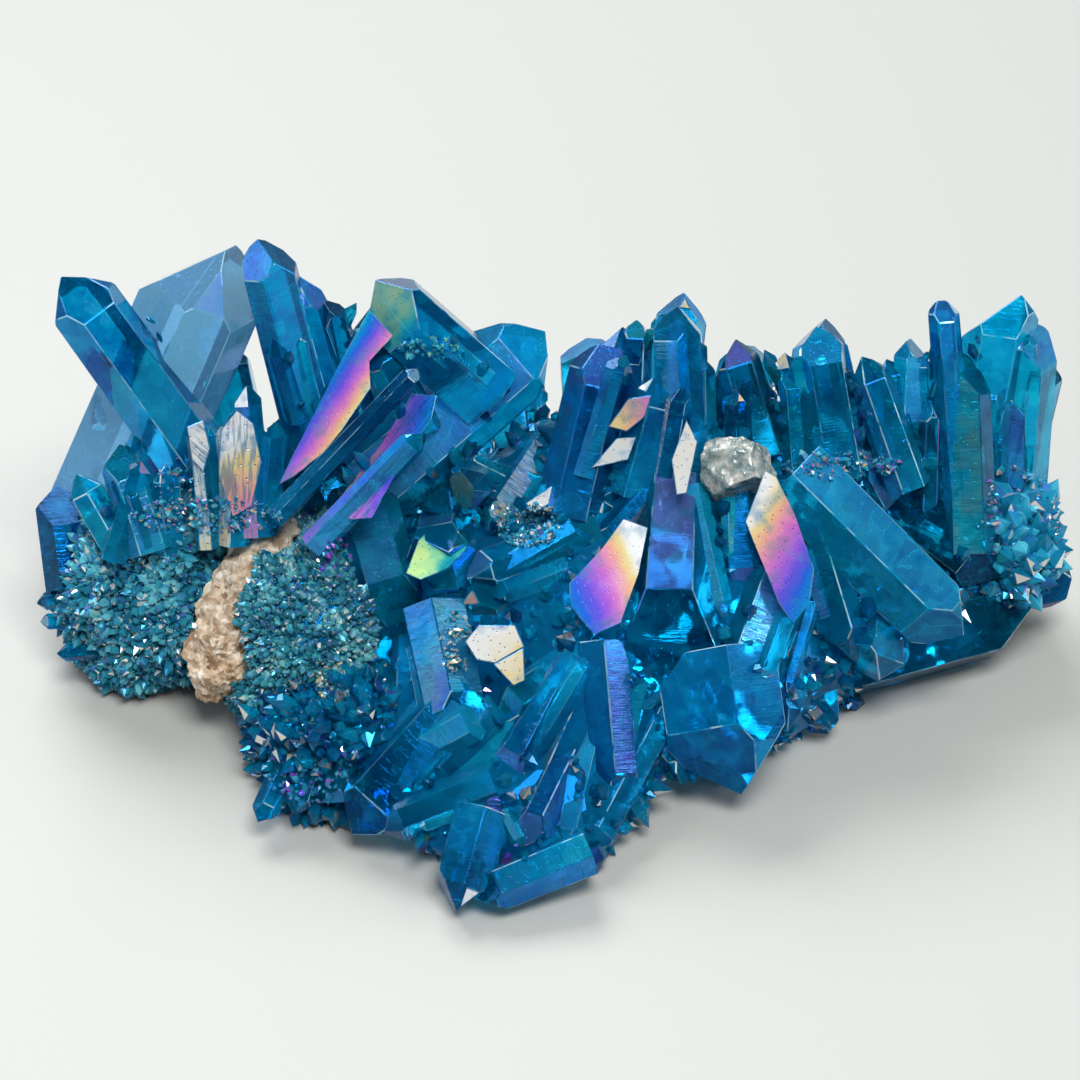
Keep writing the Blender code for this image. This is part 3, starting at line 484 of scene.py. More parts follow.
# What a face is, as the third value of its body: a tip or a break, a striated side, or a lump of crust.
# Up to this tilt a face of a point is one of its sides.
TIP = 0
SIDE = 1
CRUST = 2
SIDE_TILT = 0.3
# The coat layer holds the film's colour, the strength of its painted reflection, and the edge wear, which
# also sets a pale painted highlight.
LAYERS = ("grain", "coat", "body")

# How deep and how green the blue is on the crust and on the broad faces, and how far up a point they seem
# to be, which sets how clear they are.
CRUST_BODY = (0.35, 0.25)
CRUST_CLIMB = 0.1
BROAD_BODY = (0.5, 0.4)
BROAD_CLIMB = 0.8


def facet_layers(mesh):
    """Three values a face corner each: grain, coat and body."""
    return [mesh.loops.layers.float_vector.get(name) or mesh.loops.layers.float_vector.new(name)
            for name in LAYERS]


def mark_point(mesh, point, length, worn):
    """Write the grain, the coat and the body of each facet of a point that stands along +Z."""
    own = random.Random(point.name + "_coat")
    grain, coat, body = facet_layers(mesh)
    depth = DEPTHS.get(point.name, own.uniform(*CHANCE_DEPTH))
    hue = HUES.get(point.name, own.uniform(*CHANCE_HUE))
    film = own.uniform(*CHANCE_FILM)
    for face in mesh.faces:
        side = abs(face.normal.z) < SIDE_TILT
        level = Vector((-face.normal.y, face.normal.x, 0))
        level = level.normalized() if level.length > 0.01 else Vector((1, 0, 0))
        rising = face.normal.cross(level)
        film_here = film + own.uniform(-FILM_DRIFT, FILM_DRIFT)
        drift = own.uniform(-FILM_DRIFT, FILM_DRIFT)
        # A chance share of facets gets a painted film reflection, and small tip facets a painted glint,
        # silver to gold.
        shows = own.random() < CHANCE_GLEAM
        strength = own.uniform(*CHANCE_STRENGTH) if shows else 0.0
        if own.random() < GLINT_CHANCE and face.calc_area() < GLINT_AREA and not side:
            film_here, strength = own.uniform(*GLINT_COLOURS), own.uniform(*GLINT_STRENGTH)
        # An edge flat's wear is also the strength of its pale painted highlight.
        fall = BRIGHT_WEAR_FALL if point.name in BRIGHT_EDGED else WEAR_FALL
        wear_and_highlight = own.random() ** fall if face in worn else 0.0
        if point.name in STREAKED:
            level, rising = rising, level * STREAK_PACE
        kind = SIDE if side and face not in worn and point.name not in SMOOTH else TIP
        for loop in face.loops:
            place = loop.vert.co
            climb = place.z / length
            loop[grain] = (place.dot(level), place.dot(rising), climb)
            loop[coat] = (film_here + 2 * drift * climb, strength, wear_and_highlight)
            loop[body] = (depth, hue, kind)


def mark_gleams(mesh, name):
    """Paint the film's reflection on the chosen facets of a point that is in its place on the table."""
    mesh.normal_update()
    coat = mesh.loops.layers.float_vector["coat"]
    for gleam in [gleam for gleam in GLEAMS if gleam.name == name]:
        seen = [face for face in mesh.faces
                if face.normal.dot(TO_EYE) > GLEAM_FACING and face.calc_area() > GLEAM_AREA]
        facet = min(seen, key=lambda face: (seen_at(face.calc_center_median()) - Vector(gleam.at)).length)
        run = Vector(gleam.finish) - Vector(gleam.start)
        for loop in facet.loops:
            share = (seen_at(loop.vert.co) - Vector(gleam.start)).dot(run) / run.length_squared
            film = gleam.film[0] + (gleam.film[1] - gleam.film[0]) * min(max(share, 0), 1)
            loop[coat] = (film, gleam.strength, 0.0)


def mark_lump(mesh, code):
    own = random.Random(code)
    grain, coat, body = facet_layers(mesh)
    for face in mesh.faces:
        film = own.random()
        for loop in face.loops:
            place = loop.vert.co
            loop[grain] = (place.x, place.y, CRUST_CLIMB)
            loop[coat] = (film, 0.0, 0.0)
            loop[body] = (*CRUST_BODY, code)


# ---- growing the cluster ---------------------------------------------------------------------------

def aim(foot, tip, roll):
    """Axes with +Z from foot to tip and +X as near to the eye as it can be, then rolled."""
    along = (tip - foot).normalized()
    to_eye = EYE - foot
    facing = (to_eye - along * to_eye.dot(along)).normalized()
    axes = Matrix((facing, along.cross(facing), along)).transposed().to_4x4()
    return Matrix.Translation(foot) @ axes @ Matrix.Rotation(math.radians(roll), 4, "Z")


def as_object(name, mesh, collection):
    """An object in metres from a mesh in millimetres."""
    mesh.transform(Matrix.Scale(MM, 4))
    data = bpy.data.meshes.new(name)
    mesh.to_mesh(data)
    mesh.free()
    item = bpy.data.objects.new(name, data)
    collection.objects.link(item)
    return item


def grow_point(point, foot, tip, collection):
    length = (tip - foot).length
    mesh = quartz_point_mesh(point, length)
    worn = wear_edges(mesh, point.width)
    mesh.normal_update()
    mark_point(mesh, point, length, worn)
    mesh.transform(aim(foot, tip, point.roll))
    mark_gleams(mesh, point.name)
    return as_object(point.name, mesh, collection)


def grow_broad_face(broad, collection):
    """A stout broken point whose front is the drawn face, rooted away from the eye."""
    pins = [spot(*pin) for pin in broad.pins]
    square = (pins[1] - pins[0]).cross(pins[2] - pins[0])
    front = []
    for across, up in broad.outline:
        sight = spot(across, up, 0) - EYE
        front.append(EYE + sight * ((pins[0] - EYE).dot(square) / sight.dot(square)))
    middle = sum(front, Vector()) / len(front)
    back = [middle + (corner - middle) * BROAD_BACK - TO_EYE * broad.depth for corner in front]
    mesh = bmesh.new()
    front = [mesh.verts.new(corner) for corner in front]
    back = [mesh.verts.new(corner) for corner in back]
    face = mesh.faces.new(front)
    mesh.faces.new(reversed(back))
    for one, other, low, high in zip(front, front[1:] + front[:1], back, back[1:] + back[:1]):
        mesh.faces.new((one, low, high, other))
    worn = bmesh.ops.bevel(mesh, geom=face.edges[:], offset=BROAD_WEAR, offset_type="OFFSET", segments=1,
                           profile=0.5, affect="EDGES")
    bmesh.ops.recalc_face_normals(mesh, faces=mesh.faces)
    worn = set(worn["faces"])
    grain, coat, body = facet_layers(mesh)
    run = Vector(broad.finish) - Vector(broad.start)
    facing = max(set(mesh.faces) - worn, key=lambda one: one.calc_area() * one.normal.dot(TO_EYE))
    for side in mesh.faces:
        level = Vector((-side.normal.y, side.normal.x, 0)).normalized()
        rising = side.normal.cross(level)
        if broad.streaked:
            level = (pins[1] - pins[0]).normalized()
            rising = side.normal.cross(level) * STREAK_PACE
        for loop in side.loops:
            place = loop.vert.co
            share = (seen_at(place) - Vector(broad.start)).dot(run) / run.length_squared
            film = broad.film[0] + (broad.film[1] - broad.film[0]) * share
            loop[grain] = (place.dot(level), place.dot(rising), BROAD_CLIMB)
            # The facing side gets a strong painted film reflection, the flanks a faint one, and the worn
            # edges a pale painted highlight.
            loop[coat] = (film, BROAD_STRENGTH if side is facing else BROAD_FLANK,
                          BROAD_EDGE if side in worn else 0)
            loop[body] = (*BROAD_BODY, SIDE if broad.streaked and side is facing else TIP)
    return as_object(broad.name, mesh, collection)


def strayed(place, stray, own):
    return [value + own.uniform(-stray, stray) * share for value, share in zip(place, STRAY_SHARES)]


def grow_bundles(collection):
    for bundle in BUNDLES:
        own = random.Random(bundle.name)
        for index in range(bundle.count):
            foot = spot(*strayed(bundle.foot, bundle.stray[0], own))
            tip = spot(*strayed(bundle.tip, bundle.stray[1], own))
            width = own.uniform(*bundle.width)
            roll = own.uniform(0, 60)
            lesser = Point(f"{bundle.name}_{index}", foot, tip, width, roll)
            grow_point(lesser, foot, tip, collection)


# Slim companions stand side by side with the stout points, as quartz grows: how many there are, their
# share of the width and length of the point, how far up it they root, how they stray from its way, and
# how far out from its middle they sit, as a share of its width.
COMPANIONS = 2
COMPANION_WIDTH = (0.24, 0.46)
COMPANION_LENGTH = (0.28, 0.55)
COMPANION_ROOT = (0.05, 0.45)
COMPANION_STRAY = 0.09
COMPANION_SEAT = 0.42
STOUT_WIDTH = 4.6
LONE_POINTS = {"long_blue", "left_spear", "back_giant", "heart", "broad_teal", "long_spear", "big_hex",
               "broken_slab", "right_arch", "slab_rim", "lime_hex", "front_toe", "front_sill"}


def grow_companions(point, foot, tip, collection):
    own = random.Random(point.name + "_companions")
    run = tip - foot
    aside = run.orthogonal().normalized()
    for index in range(COMPANIONS):
        turned = Matrix.Rotation(own.uniform(0, math.tau), 3, run) @ aside
        root = foot + run * own.uniform(*COMPANION_ROOT) + turned * point.width * COMPANION_SEAT
        stray = Vector([own.uniform(-1, 1) for _ in range(3)]) * COMPANION_STRAY
        end = root + (run.normalized() + stray) * run.length * own.uniform(*COMPANION_LENGTH)
        width = point.width * own.uniform(*COMPANION_WIDTH)
        slim = Point(f"{point.name}_companion_{index}", root, end, width, own.uniform(0, 60))
        if min(root.z, end.z) > width:
            grow_point(slim, root, end, collection)


def bumpy(mesh, depth, size):
    """Push each vertex in or out along its normal by smooth seeded noise."""
    mesh.normal_update()
    pushes = [noise.noise(vert.co / size + NOISE_SHIFT) * depth for vert in mesh.verts]
    for vert, push in zip(mesh.verts, pushes):
        vert.co += vert.normal * push


def grow_lump(lump, code, collection):
    mesh = bmesh.new()
    bmesh.ops.create_icosphere(mesh, subdivisions=LUMP_DETAIL, radius=1)
    mesh.transform(Matrix.Translation(lump.centre) @ Matrix.Diagonal((*lump.radii, 1)))
    bumpy(mesh, LUMP_BUMP, LUMP_BUMP_SIZE)
    mark_lump(mesh, code)
    return as_object(lump.name, mesh, collection)


def spine_place(share):
    """A place on the smooth bend through the three spine spots."""
    top, middle, low = [spot(*place) for place in STONE_SPINE]
    pull = middle * 2 - (top + low) / 2
    return top.lerp(pull, share).lerp(pull.lerp(low, share), share)


def stone_mesh(detail, swell=0.0):
    """A bent, rough wedge of stone; the swell makes it thicker all round."""
    mesh = bmesh.new()
    bmesh.ops.create_icosphere(mesh, subdivisions=detail, radius=1)
    for vert in mesh.verts:
        middle = spine_place((1 - vert.co.z) / 2)
        girth = Vector((vert.co.x * STONE_RADII[0], vert.co.y * STONE_RADII[1], 0))
        vert.co = middle + girth
    bumpy(mesh, STONE_BUMP, STONE_BUMP_SIZE)
    mesh.normal_update()
    normals = [vert.normal.copy() for vert in mesh.verts]
    for vert, normal in zip(mesh.verts, normals):
        vert.co += normal * swell
    return mesh


def cut_or_join(item, operation, others):
    """The mesh of an object after a boolean with an object or a collection."""
    modifier = item.modifiers.new("join", "BOOLEAN")
    modifier.operation = operation
    modifier.solver = "EXACT"
    if isinstance(others, bpy.types.Collection):
        modifier.operand_type = "COLLECTION"
        modifier.collection = others
    else:
        modifier.object = others
    shape = item.evaluated_get(bpy.context.evaluated_depsgraph_get())
    data = bpy.data.meshes.new_from_object(shape)
    item.modifiers.clear()
    item.data = data


def drop_all_but_largest_shell(data):
    mesh = bmesh.new()
    mesh.from_mesh(data)
    left = set(mesh.faces)
    shells = []
    while left:
        shell = [left.pop()]
        for face in shell:
            near = {other for edge in face.edges for other in edge.link_faces if other in left}
            left -= near
            shell.extend(near)
        shells.append(shell)
    largest = max(shells, key=len)
    spare = [face for shell in shells if shell is not largest for face in shell]
    bmesh.ops.delete(mesh, geom=spare, context="FACES")
    mesh.to_mesh(data)
    mesh.free()


def grow_cluster():
    """All the points and lumps as one solid, cut flat at the table and open where the stone sits."""
    growths = bpy.data.collections.new("growths")
    bpy.context.scene.collection.children.link(growths)
    for code, lump in enumerate(CRUST_LUMPS[1:], CRUST + 1):
        grow_lump(lump, code, growths)
    seats = [(point, spot(*point.foot), spot(*point.tip))
             for point in LEFT_CROWN + BACK_RIDGE + RIGHT_CROWN + FRONT_FAN]
    seats += [(point, Vector(point.foot), Vector(point.tip)) for point in REAR_POINTS]
    for point, foot, tip in seats:
        grow_point(point, foot, tip, growths)
        if point.width > STOUT_WIDTH and point.name not in LONE_POINTS:
            grow_companions(point, foot, tip, growths)
    for broad in BROAD_FACES:
        grow_broad_face(broad, growths)
    grow_bundles(growths)
    cluster = grow_lump(CRUST_LUMPS[0], CRUST, bpy.context.scene.collection)
    cluster.name = "quartz_points"
    cut_or_join(cluster, "UNION", growths)
    drop_all_but_largest_shell(cluster.data)

    pocket = as_object("pocket", stone_mesh(3, STONE_GAP), growths)
    cut_or_join(cluster, "DIFFERENCE", pocket)
    table = bmesh.new()
    bmesh.ops.create_cube(table, size=TABLE_CUTTER_SIZE,
                          matrix=Matrix.Translation((0, 0, -TABLE_CUTTER_SIZE / 2)))
    cut_or_join(cluster, "DIFFERENCE", as_object("table", table, growths))
    for spare in list(growths.objects):
        bpy.data.objects.remove(spare, do_unlink=True)
    bpy.data.collections.remove(growths)
    return cluster


# ---- the druse that covers the crust ---------------------------------------------------------------

# Each tiny point leans at random, roots by a share of its width, and stands on a swell of the crust. Its
# neck and tip are shares of its width; stubby ones, of a crust that grows wide points, have short necks.
DRUSE_LEAN = 0.55
DRUSE_ROOT = 0.35
DRUSE_SWELL = 0.9
DRUSE_SWELL_SIZE = 2.6
DRUSE_SWELL_BASE = 0.25
DRUSE_NECK = (0.15, 0.9)
STUBBY_NECK = (0.0, 0.3)
STUBBY_WIDTH = 2.5
DRUSE_TIP = (0.5, 0.85)
DRUSE_UNEVEN = 0.16
DRUSE_OFF_CENTRE = 0.22
DRUSE_SHOULDER = 0.1
DRUSE_FLOOR = 0.02

# The share of its facets with a painted film reflection and how strongly, the share with a painted glint
# and its film colours, how deep its blue is, and how far it keeps from the bare stone.
DRUSE_GLEAM = 0.24
DRUSE_STRENGTH = (0.1, 0.55)
DRUSE_GLINT = 0.08
DRUSE_DEPTH = (0.1, 0.7)
GLINT_FILM = (0.0, 0.05)
STONE_CLEARANCE = 0.25

# Small points are commoner than large ones: a random share to these powers picks their width.
FEW_LARGE = 2
HARDLY_ANY_LARGE = 3

# The flat cut that the cluster rests on has no druse: it faces down by this much, this near the table.
CUT_FACING = -0.95
CUT_HEIGHT = 0.1


def tiny_point(place, way, width, root, necks, own):
    """The corners, in millimetres, and the faces of a six-sided druse point that stands along a way."""
    level = way.cross(Vector((own.uniform(-1, 1), own.uniform(-1, 1), own.uniform(-1, 1)))).normalized()
    other = way.cross(level)
    turn = own.uniform(0, math.tau)
    neck = width * own.uniform(*necks)
    tip = neck + width * own.uniform(*DRUSE_TIP)
    corners = []
    for height in (-root, neck):
        for step in range(6):
            angle = turn + step * math.tau / 6
            reach = width / 2 * (1 + own.uniform(-DRUSE_UNEVEN, DRUSE_UNEVEN))
            shoulder = height + (own.uniform(-DRUSE_SHOULDER, DRUSE_SHOULDER) * width if height > 0 else 0)
            corners.append(place + (level * math.cos(angle) + other * math.sin(angle)) * reach
                           + way * shoulder)
    slip = width * DRUSE_OFF_CENTRE
    corners.append(place + way * tip + level * own.uniform(-slip, slip) + other * own.uniform(-slip, slip))
    for corner in corners:
        corner.z = max(corner.z, DRUSE_FLOOR)
    faces = []
    for step in range(6):
        after = (step + 1) % 6
        faces.append((step, after, after + 6, step + 6))
        faces.append((step + 6, after + 6, 12))
    return corners, faces


class TinyPoints:
    """Tiny points gathered for one joined mesh."""

    def __init__(self, name):
        self.name = name
        self.places, self.faces, self.coats, self.bodies = [], [], [], []

    def stand(self, place, normal, width, root, hue, film, share, strength, own, necks=DRUSE_NECK):
        """Stand a tiny point on a surface; a share of its facets get a painted glint in the given film
        colours.
        """
        lean = Vector([own.uniform(-DRUSE_LEAN, DRUSE_LEAN) for _ in range(3)])
        corners, sides = tiny_point(place, (normal + lean).normalized(), width, root, necks, own)
        depth = own.uniform(*DRUSE_DEPTH)
        first = len(self.places)
        self.places.extend(corner * MM for corner in corners)
        for side in sides:
            self.faces.append([first + corner for corner in side])
            # A chance share of facets gets a painted film reflection, and the given share a painted glint.
            here, shine = own.uniform(*CHANCE_FILM), 0.0
            if own.random() < DRUSE_GLEAM:
                shine = own.uniform(*DRUSE_STRENGTH)
            if own.random() < share:
                here, shine = own.uniform(*film), strength
            for _ in side:
                self.coats.extend((here, shine, 0.0))
                self.bodies.extend((depth, hue, TIP))

    def as_piece(self):
        mesh = bpy.data.meshes.new(self.name)
        mesh.from_pydata(self.places, [], self.faces)
        for layer, values in (("coat", self.coats), ("body", self.bodies),
                              ("grain", [0.5] * len(self.coats))):
            mesh.attributes.new(layer, "FLOAT_VECTOR", "CORNER").data.foreach_set("vector", values)
        piece = bpy.data.objects.new(self.name, mesh)
        bpy.context.scene.collection.objects.link(piece)
        return piece


def grow_druse(name, lumps, cluster, stone_tree):
    """One joined mesh of tiny points on the bare faces of some lumps of crust."""
    own = random.Random(name)
    codes = {CRUST + index: lump for index, lump in enumerate(CRUST_LUMPS) if lump.name in lumps}
    data = cluster.data
    data.calc_loop_triangles()
    body = data.attributes["body"].data
    crust = TinyPoints(name)
    for triangle in data.loop_triangles:
        code = round(body[triangle.loops[0]].vector.z)
        a, b, c = [data.vertices[index].co / MM for index in triangle.vertices]
        normal = data.polygons[triangle.polygon_index].normal
        if code not in codes or normal.z < CUT_FACING and a.z < CUT_HEIGHT:
            continue
        lump = codes[code]
        expected = triangle.area / MM ** 2 * lump.density
        count = int(expected) + (own.random() < expected % 1)
        for _ in range(count):
            s, t = own.random(), own.random()
            if s + t > 1:
                s, t = 1 - s, 1 - t
            place = a + (b - a) * s + (c - a) * t
            near, outward, _, gap = stone_tree.find_nearest(place)
            if gap < STONE_CLEARANCE or (place - near).dot(outward) < 0:
                continue
            low, high = lump.width
            width = low + (high - low) * own.random() ** HARDLY_ANY_LARGE
            swell = max(0, noise.noise(place / DRUSE_SWELL_SIZE) + DRUSE_SWELL_BASE) * DRUSE_SWELL
            crust.stand(place + normal * swell, normal, width, swell + DRUSE_ROOT * width,
                        lump.hue, GLINT_FILM, DRUSE_GLINT, 1.0, own,
                        STUBBY_NECK if high > STUBBY_WIDTH else DRUSE_NECK)
    return crust.as_piece()


# Small points crowd the crevices between the large ones: how many are tried on a square millimetre, their
# width, their length up to the tip as a share of it, how near other growth must be, how many looks around
# are taken and how many must meet it, from how far off the face, the share of facets with a painted glint,
# and how clear of the broad faces they stay. They lean away from a line through the heart of the cluster,
# are drawn upright by a share, and root by a share of their width.
CROWD_DENSITY = 0.2
CROWD_WIDTH = (0.5, 1.9)
CROWD_NECK = (0.4, 1.7)
CROWD_REACH = 3.2
CROWD_LOOKS = 4
CROWD_HITS = 3
CROWD_LIFT = 0.2
CROWD_GLINT = 0.02
CROWD_FILM = (0.0, 1.0)
CROWD_STRENGTH = 0.9
CROWD_CLEAR = 2.6
CROWD_UPRIGHT = 0.5
CROWD_ROOT = 0.7
HEART_LINE = (Vector((-40, 8, 8)), Vector((46, 8, 8)))


def by_broad_face(place):
    """Whether a place is seen close to the corner of a broad face."""
    return any((seen_at(place) - Vector(corner)).length < CROWD_CLEAR
               for broad in BROAD_FACES for corner in broad.outline)


def crowd_crevices(cluster, stone_tree):
    """Small points that stand in the crevices of the cluster and lean away from its heart."""
    own = random.Random("crowd")
    mesh = bmesh.new()
    mesh.from_mesh(cluster.data)
    mesh.transform(Matrix.Scale(1 / MM, 4))
    bmesh.ops.triangulate(mesh, faces=mesh.faces)
    surface = BVHTree.FromBMesh(mesh)
    crowd = TinyPoints("crowding_points")
    for face in mesh.faces:
        expected = face.calc_area() * CROWD_DENSITY
        for _ in range(int(expected) + (own.random() < expected % 1)):
            a, b, c = [vert.co for vert in face.verts]
            s, t = own.random(), own.random()
            if s + t > 1:
                s, t = 1 - s, 1 - t
            place = a + (b - a) * s + (c - a) * t
            gap = stone_tree.find_nearest(place)[3]
            looks = [face.normal + Vector([own.uniform(-1, 1) for _ in range(3)])
                     for _ in range(CROWD_LOOKS)]
            start = place + face.normal * CROWD_LIFT
            hits = [surface.ray_cast(start, look, CROWD_REACH)[0] for look in looks]
            low, high = CROWD_WIDTH
            width = low + (high - low) * own.random() ** FEW_LARGE
            if sum(hit is not None for hit in hits) < CROWD_HITS or gap < width or place.z < width:
                continue
            if by_broad_face(place):
                continue
            across = min(max(place.x, HEART_LINE[0].x), HEART_LINE[1].x)
            away = (place - Vector((across, HEART_LINE[0].y, HEART_LINE[0].z))).normalized()
            crowd.stand(place, face.normal * CROWD_UPRIGHT + away, width, CROWD_ROOT * width,
                        own.uniform(*CHANCE_HUE), CROWD_FILM, CROWD_GLINT, CROWD_STRENGTH, own,
                        CROWD_NECK)
    mesh.free()
    return crowd.as_piece()


# Tiny points sprinkled where the eye sees sparkle: the board centre and radii of the patch, how many
# points there are and their width, the film colours painted on their facets, and the share of facets that
# get this painted glint. They root by a share of their width, are a little greenish, and their painted
# glint shows strongly.
Sparkle = namedtuple("Sparkle", "name at radii count width film share")
SPARKLES = [
    Sparkle("hub", (-1.6, 1.6), (4, 2.4), 260, (0.3, 0.8), (0.0, 0.1), 0.12),
    Sparkle("hub_rim", (-2, 3.6), (4, 0.8), 60, (0.3, 0.9), (0.0, 0.16), 0.5),
    Sparkle("teeth_root", (-40, 3), (9, 2.2), 260, (0.25, 0.8), (0.0, 0.5), 0.2),
    Sparkle("teeth_side", (-44, 6), (2.4, 4), 60, (0.2, 0.7), (0.0, 0.6), 0.3),
    Sparkle("break_foot", (-13.4, 23), (3.4, 1.4), 60, (0.25, 0.9), (0.8, 1.0), 0.3),
    Sparkle("peak_foot", (36, 9), (7, 1.6), 160, (0.25, 0.9), (0.0, 0.8), 0.2),
    Sparkle("gold_nest", (-24.6, -17), (2.2, 2.6), 130, (0.4, 1.1), (0.02, 0.14), 0.6),
    Sparkle("violet_nest", (-24.6, -2.4), (1.8, 2.6), 90, (0.4, 1.0), (0.44, 0.6), 0.5),
    Sparkle("silver_foot", (-10, -12.6), (2, 4), 70, (0.3, 0.8), (0.0, 0.2), 0.4),
    Sparkle("crust_glint", (57, 3), (4.5, 6), 140, (0.4, 1.3), (0.0, 0.6), 0.3),
    Sparkle("low_glint", (-28, -27), (5.5, 4.5), 150, (0.4, 1.1), (0.4, 0.7), 0.25),
]
SPARKLE_ROOT = 0.4
SPARKLE_HUE = 0.4
SPARKLE_STRENGTH = 0.9


def sprinkle_sparkles(cluster):
    """Stand the tiny points of every patch on whatever the eye sees there."""
    mesh = bmesh.new()
    mesh.from_mesh(cluster.data)
    mesh.transform(Matrix.Scale(1 / MM, 4))
    surface = BVHTree.FromBMesh(mesh)
    mesh.free()
    crust = TinyPoints("sparkle_points")
    for patch in SPARKLES:
        own = random.Random(patch.name)
        for _ in range(patch.count):
            angle, out = own.uniform(0, math.tau), math.sqrt(own.random())
            across = patch.at[0] + patch.radii[0] * out * math.cos(angle)
            up = patch.at[1] + patch.radii[1] * out * math.sin(angle)
            low, high = patch.width
            width = low + (high - low) * own.random() ** HARDLY_ANY_LARGE
            place, normal, _, _ = surface.ray_cast(EYE, spot(across, up, 0) - EYE)
            if place:
                crust.stand(place, normal, width, SPARKLE_ROOT * width, SPARKLE_HUE, patch.film,
                            patch.share, SPARKLE_STRENGTH, own)
    return crust.as_piece()


# ---- bare stone and bare quartz --------------------------------------------------------------------

def grainy(mesh, layers):
    """Push the vertices along their normals by layers of seeded grain: kind, depth, size."""
    mesh.normal_update()
    pushes = []
    for vert in mesh.verts:
        push = 0
        for kind, depth, size in layers:
            here = vert.co / size + NOISE_SHIFT
            if kind == "grains":
                distances, _ = noise.voronoi(here)
                push += depth * (0.5 - distances[0])
            else:
                push += depth * noise.noise(here)
        pushes.append(push)
    for vert, push in zip(mesh.verts, pushes):
        vert.co += vert.normal * push


# Layers of grain on the bare stone and on the stump: kind, depth and size in millimetres.
STONE_DETAIL = 6
STONE_GRAIN = (("grains", 0.9, 1.7), ("grains", 0.45, 0.8), ("swell", 0.25, 0.4))
STUMP_GRAIN = (("grains", 0.5, 1.5), ("swell", 0.12, 0.5))


def shape_stone():
    """The iron-stained host rock: crumbly grains, with hollows where some have fallen out."""
    mesh = stone_mesh(STONE_DETAIL)
    grainy(mesh, STONE_GRAIN)
    for vert in mesh.verts:
        vert.co.z = max(vert.co.z, 0.0)
    return as_object("iron_stained_rock", mesh, bpy.context.scene.collection)


# The stump of bare quartz: where it sits and its radii, how many breaks cut it back and to what share of
# its radii, and the length, as a share of them, above which its edges are split.
BARE_KNOB = Lump("bare_knob", (22.8, -1.2, 32), (5.1, 4.2, 5.8), 0, None)
BREAKS = 20
BREAK_DEPTH = (0.5, 0.88)
BREAK_DETAIL = 0.12


def shape_bare_quartz():
    """A knocked-off stump of uncoated quartz: flat and shell-shaped breaks at odd angles."""
    own = random.Random("bare_quartz")
    mesh = bmesh.new()
    bmesh.ops.create_icosphere(mesh, subdivisions=3, radius=1)
    for _ in range(BREAKS):
        way = Vector([own.gauss(0, 1) for _ in range(3)]).normalized()
        keep_inside(mesh, way * own.uniform(*BREAK_DEPTH), way)
    bmesh.ops.triangulate(mesh, faces=mesh.faces)
    for _ in range(4):
        long_edges = [edge for edge in mesh.edges if edge.calc_length() > BREAK_DETAIL]
        bmesh.ops.subdivide_edges(mesh, edges=long_edges, cuts=1)
        bmesh.ops.triangulate(mesh, faces=mesh.faces)
    mesh.transform(Matrix.Translation(BARE_KNOB.centre) @ Matrix.Diagonal((*BARE_KNOB.radii, 1)))
    grainy(mesh, STUMP_GRAIN)
    return as_object("bare_quartz_stump", mesh, bpy.context.scene.collection)


# ---- finishes --------------------------------------------------------------------------------------

def linear(code):
    """A linear colour from an sRGB hex value."""
    channels = [int(code[start:start + 2], 16) / 255 for start in (1, 3, 5)]
    return tuple(c / 12.92 if c <= 0.04045 else ((c + 0.055) / 1.055) ** 2.4 for c in channels) + (1,)


def add(tree, kind, inputs=(), stops=(), **settings):
    """Add a node, make its settings, and feed its inputs with values, nodes or nodes' outputs."""
    node = tree.nodes.new(kind)
    for name, value in settings.items():
        setattr(node, name, value)
    for key, value in dict(inputs).items():
        source = value.outputs[0] if isinstance(value, bpy.types.Node) else value
        if isinstance(source, bpy.types.NodeSocket):
            tree.links.new(source, node.inputs[key])
        else:
            node.inputs[key].default_value = source
    for index, (place, code) in enumerate(stops):
        if index >= len(node.color_ramp.elements):
            node.color_ramp.elements.new(1.0)
        node.color_ramp.elements[index].position = place
        node.color_ramp.elements[index].color = linear(code)
    return node


def bare_finish(name):
    """A material with an empty node tree."""
    material = bpy.data.materials.new(name)
    material.use_nodes = True
    material.node_tree.nodes.clear()
    return material, material.node_tree


# The colours of light thrown back by a film of gold a few hundred nanometres thick, thin to thick, which
# the finishes paint into the base colour as a painted reflection.
PAINTED_FILM_COLOURS = [
    (0.00, "#fdfefe"), (0.05, "#fbf8ec"), (0.12, "#f4dc90"), (0.22, "#eeae92"), (0.34, "#e484c4"),
    (0.46, "#b564dc"), (0.58, "#6d52e0"), (0.70, "#2a66e2"), (0.82, "#108ed8"), (0.91, "#3ccab4"),
    (1.00, "#cdf29a"),
]

# The film's thickness in nanometres at its thinnest and its range, and the two refractive indices.
FILM_THINNEST = 160
FILM_RANGE = 360
FILM_INDEX = 1.9
QUARTZ_INDEX = 1.544

# The blues of the coated body, from pale to deep: azure and teal for the points, greyer for the druse.
AZURE = [(0.0, "#12bcf4"), (0.25, "#00a2de"), (0.6, "#0078be"), (1.0, "#003f86")]
TEAL = [(0.0, "#12c0da"), (0.25, "#009fbc"), (0.6, "#007e9c"), (1.0, "#00485e")]
DRUSE_BLUE = [(0.0, "#46b4d2"), (0.25, "#1490b8"), (0.6, "#0a6c94"), (1.0, "#063c5c")]
DRUSE_TEAL = [(0.0, "#6eb4b6"), (0.25, "#3a8c98"), (0.6, "#266c7a"), (1.0, "#153e4a")]

# A blue gloss off the glassy facets and a paler one off the druse, which the coat gives them.
GLASS_GLOSS = "#1c8cf0"
DRUSE_GLOSS = "#6cb8f4"
COAT_GLOSS_LEVEL = 0.6

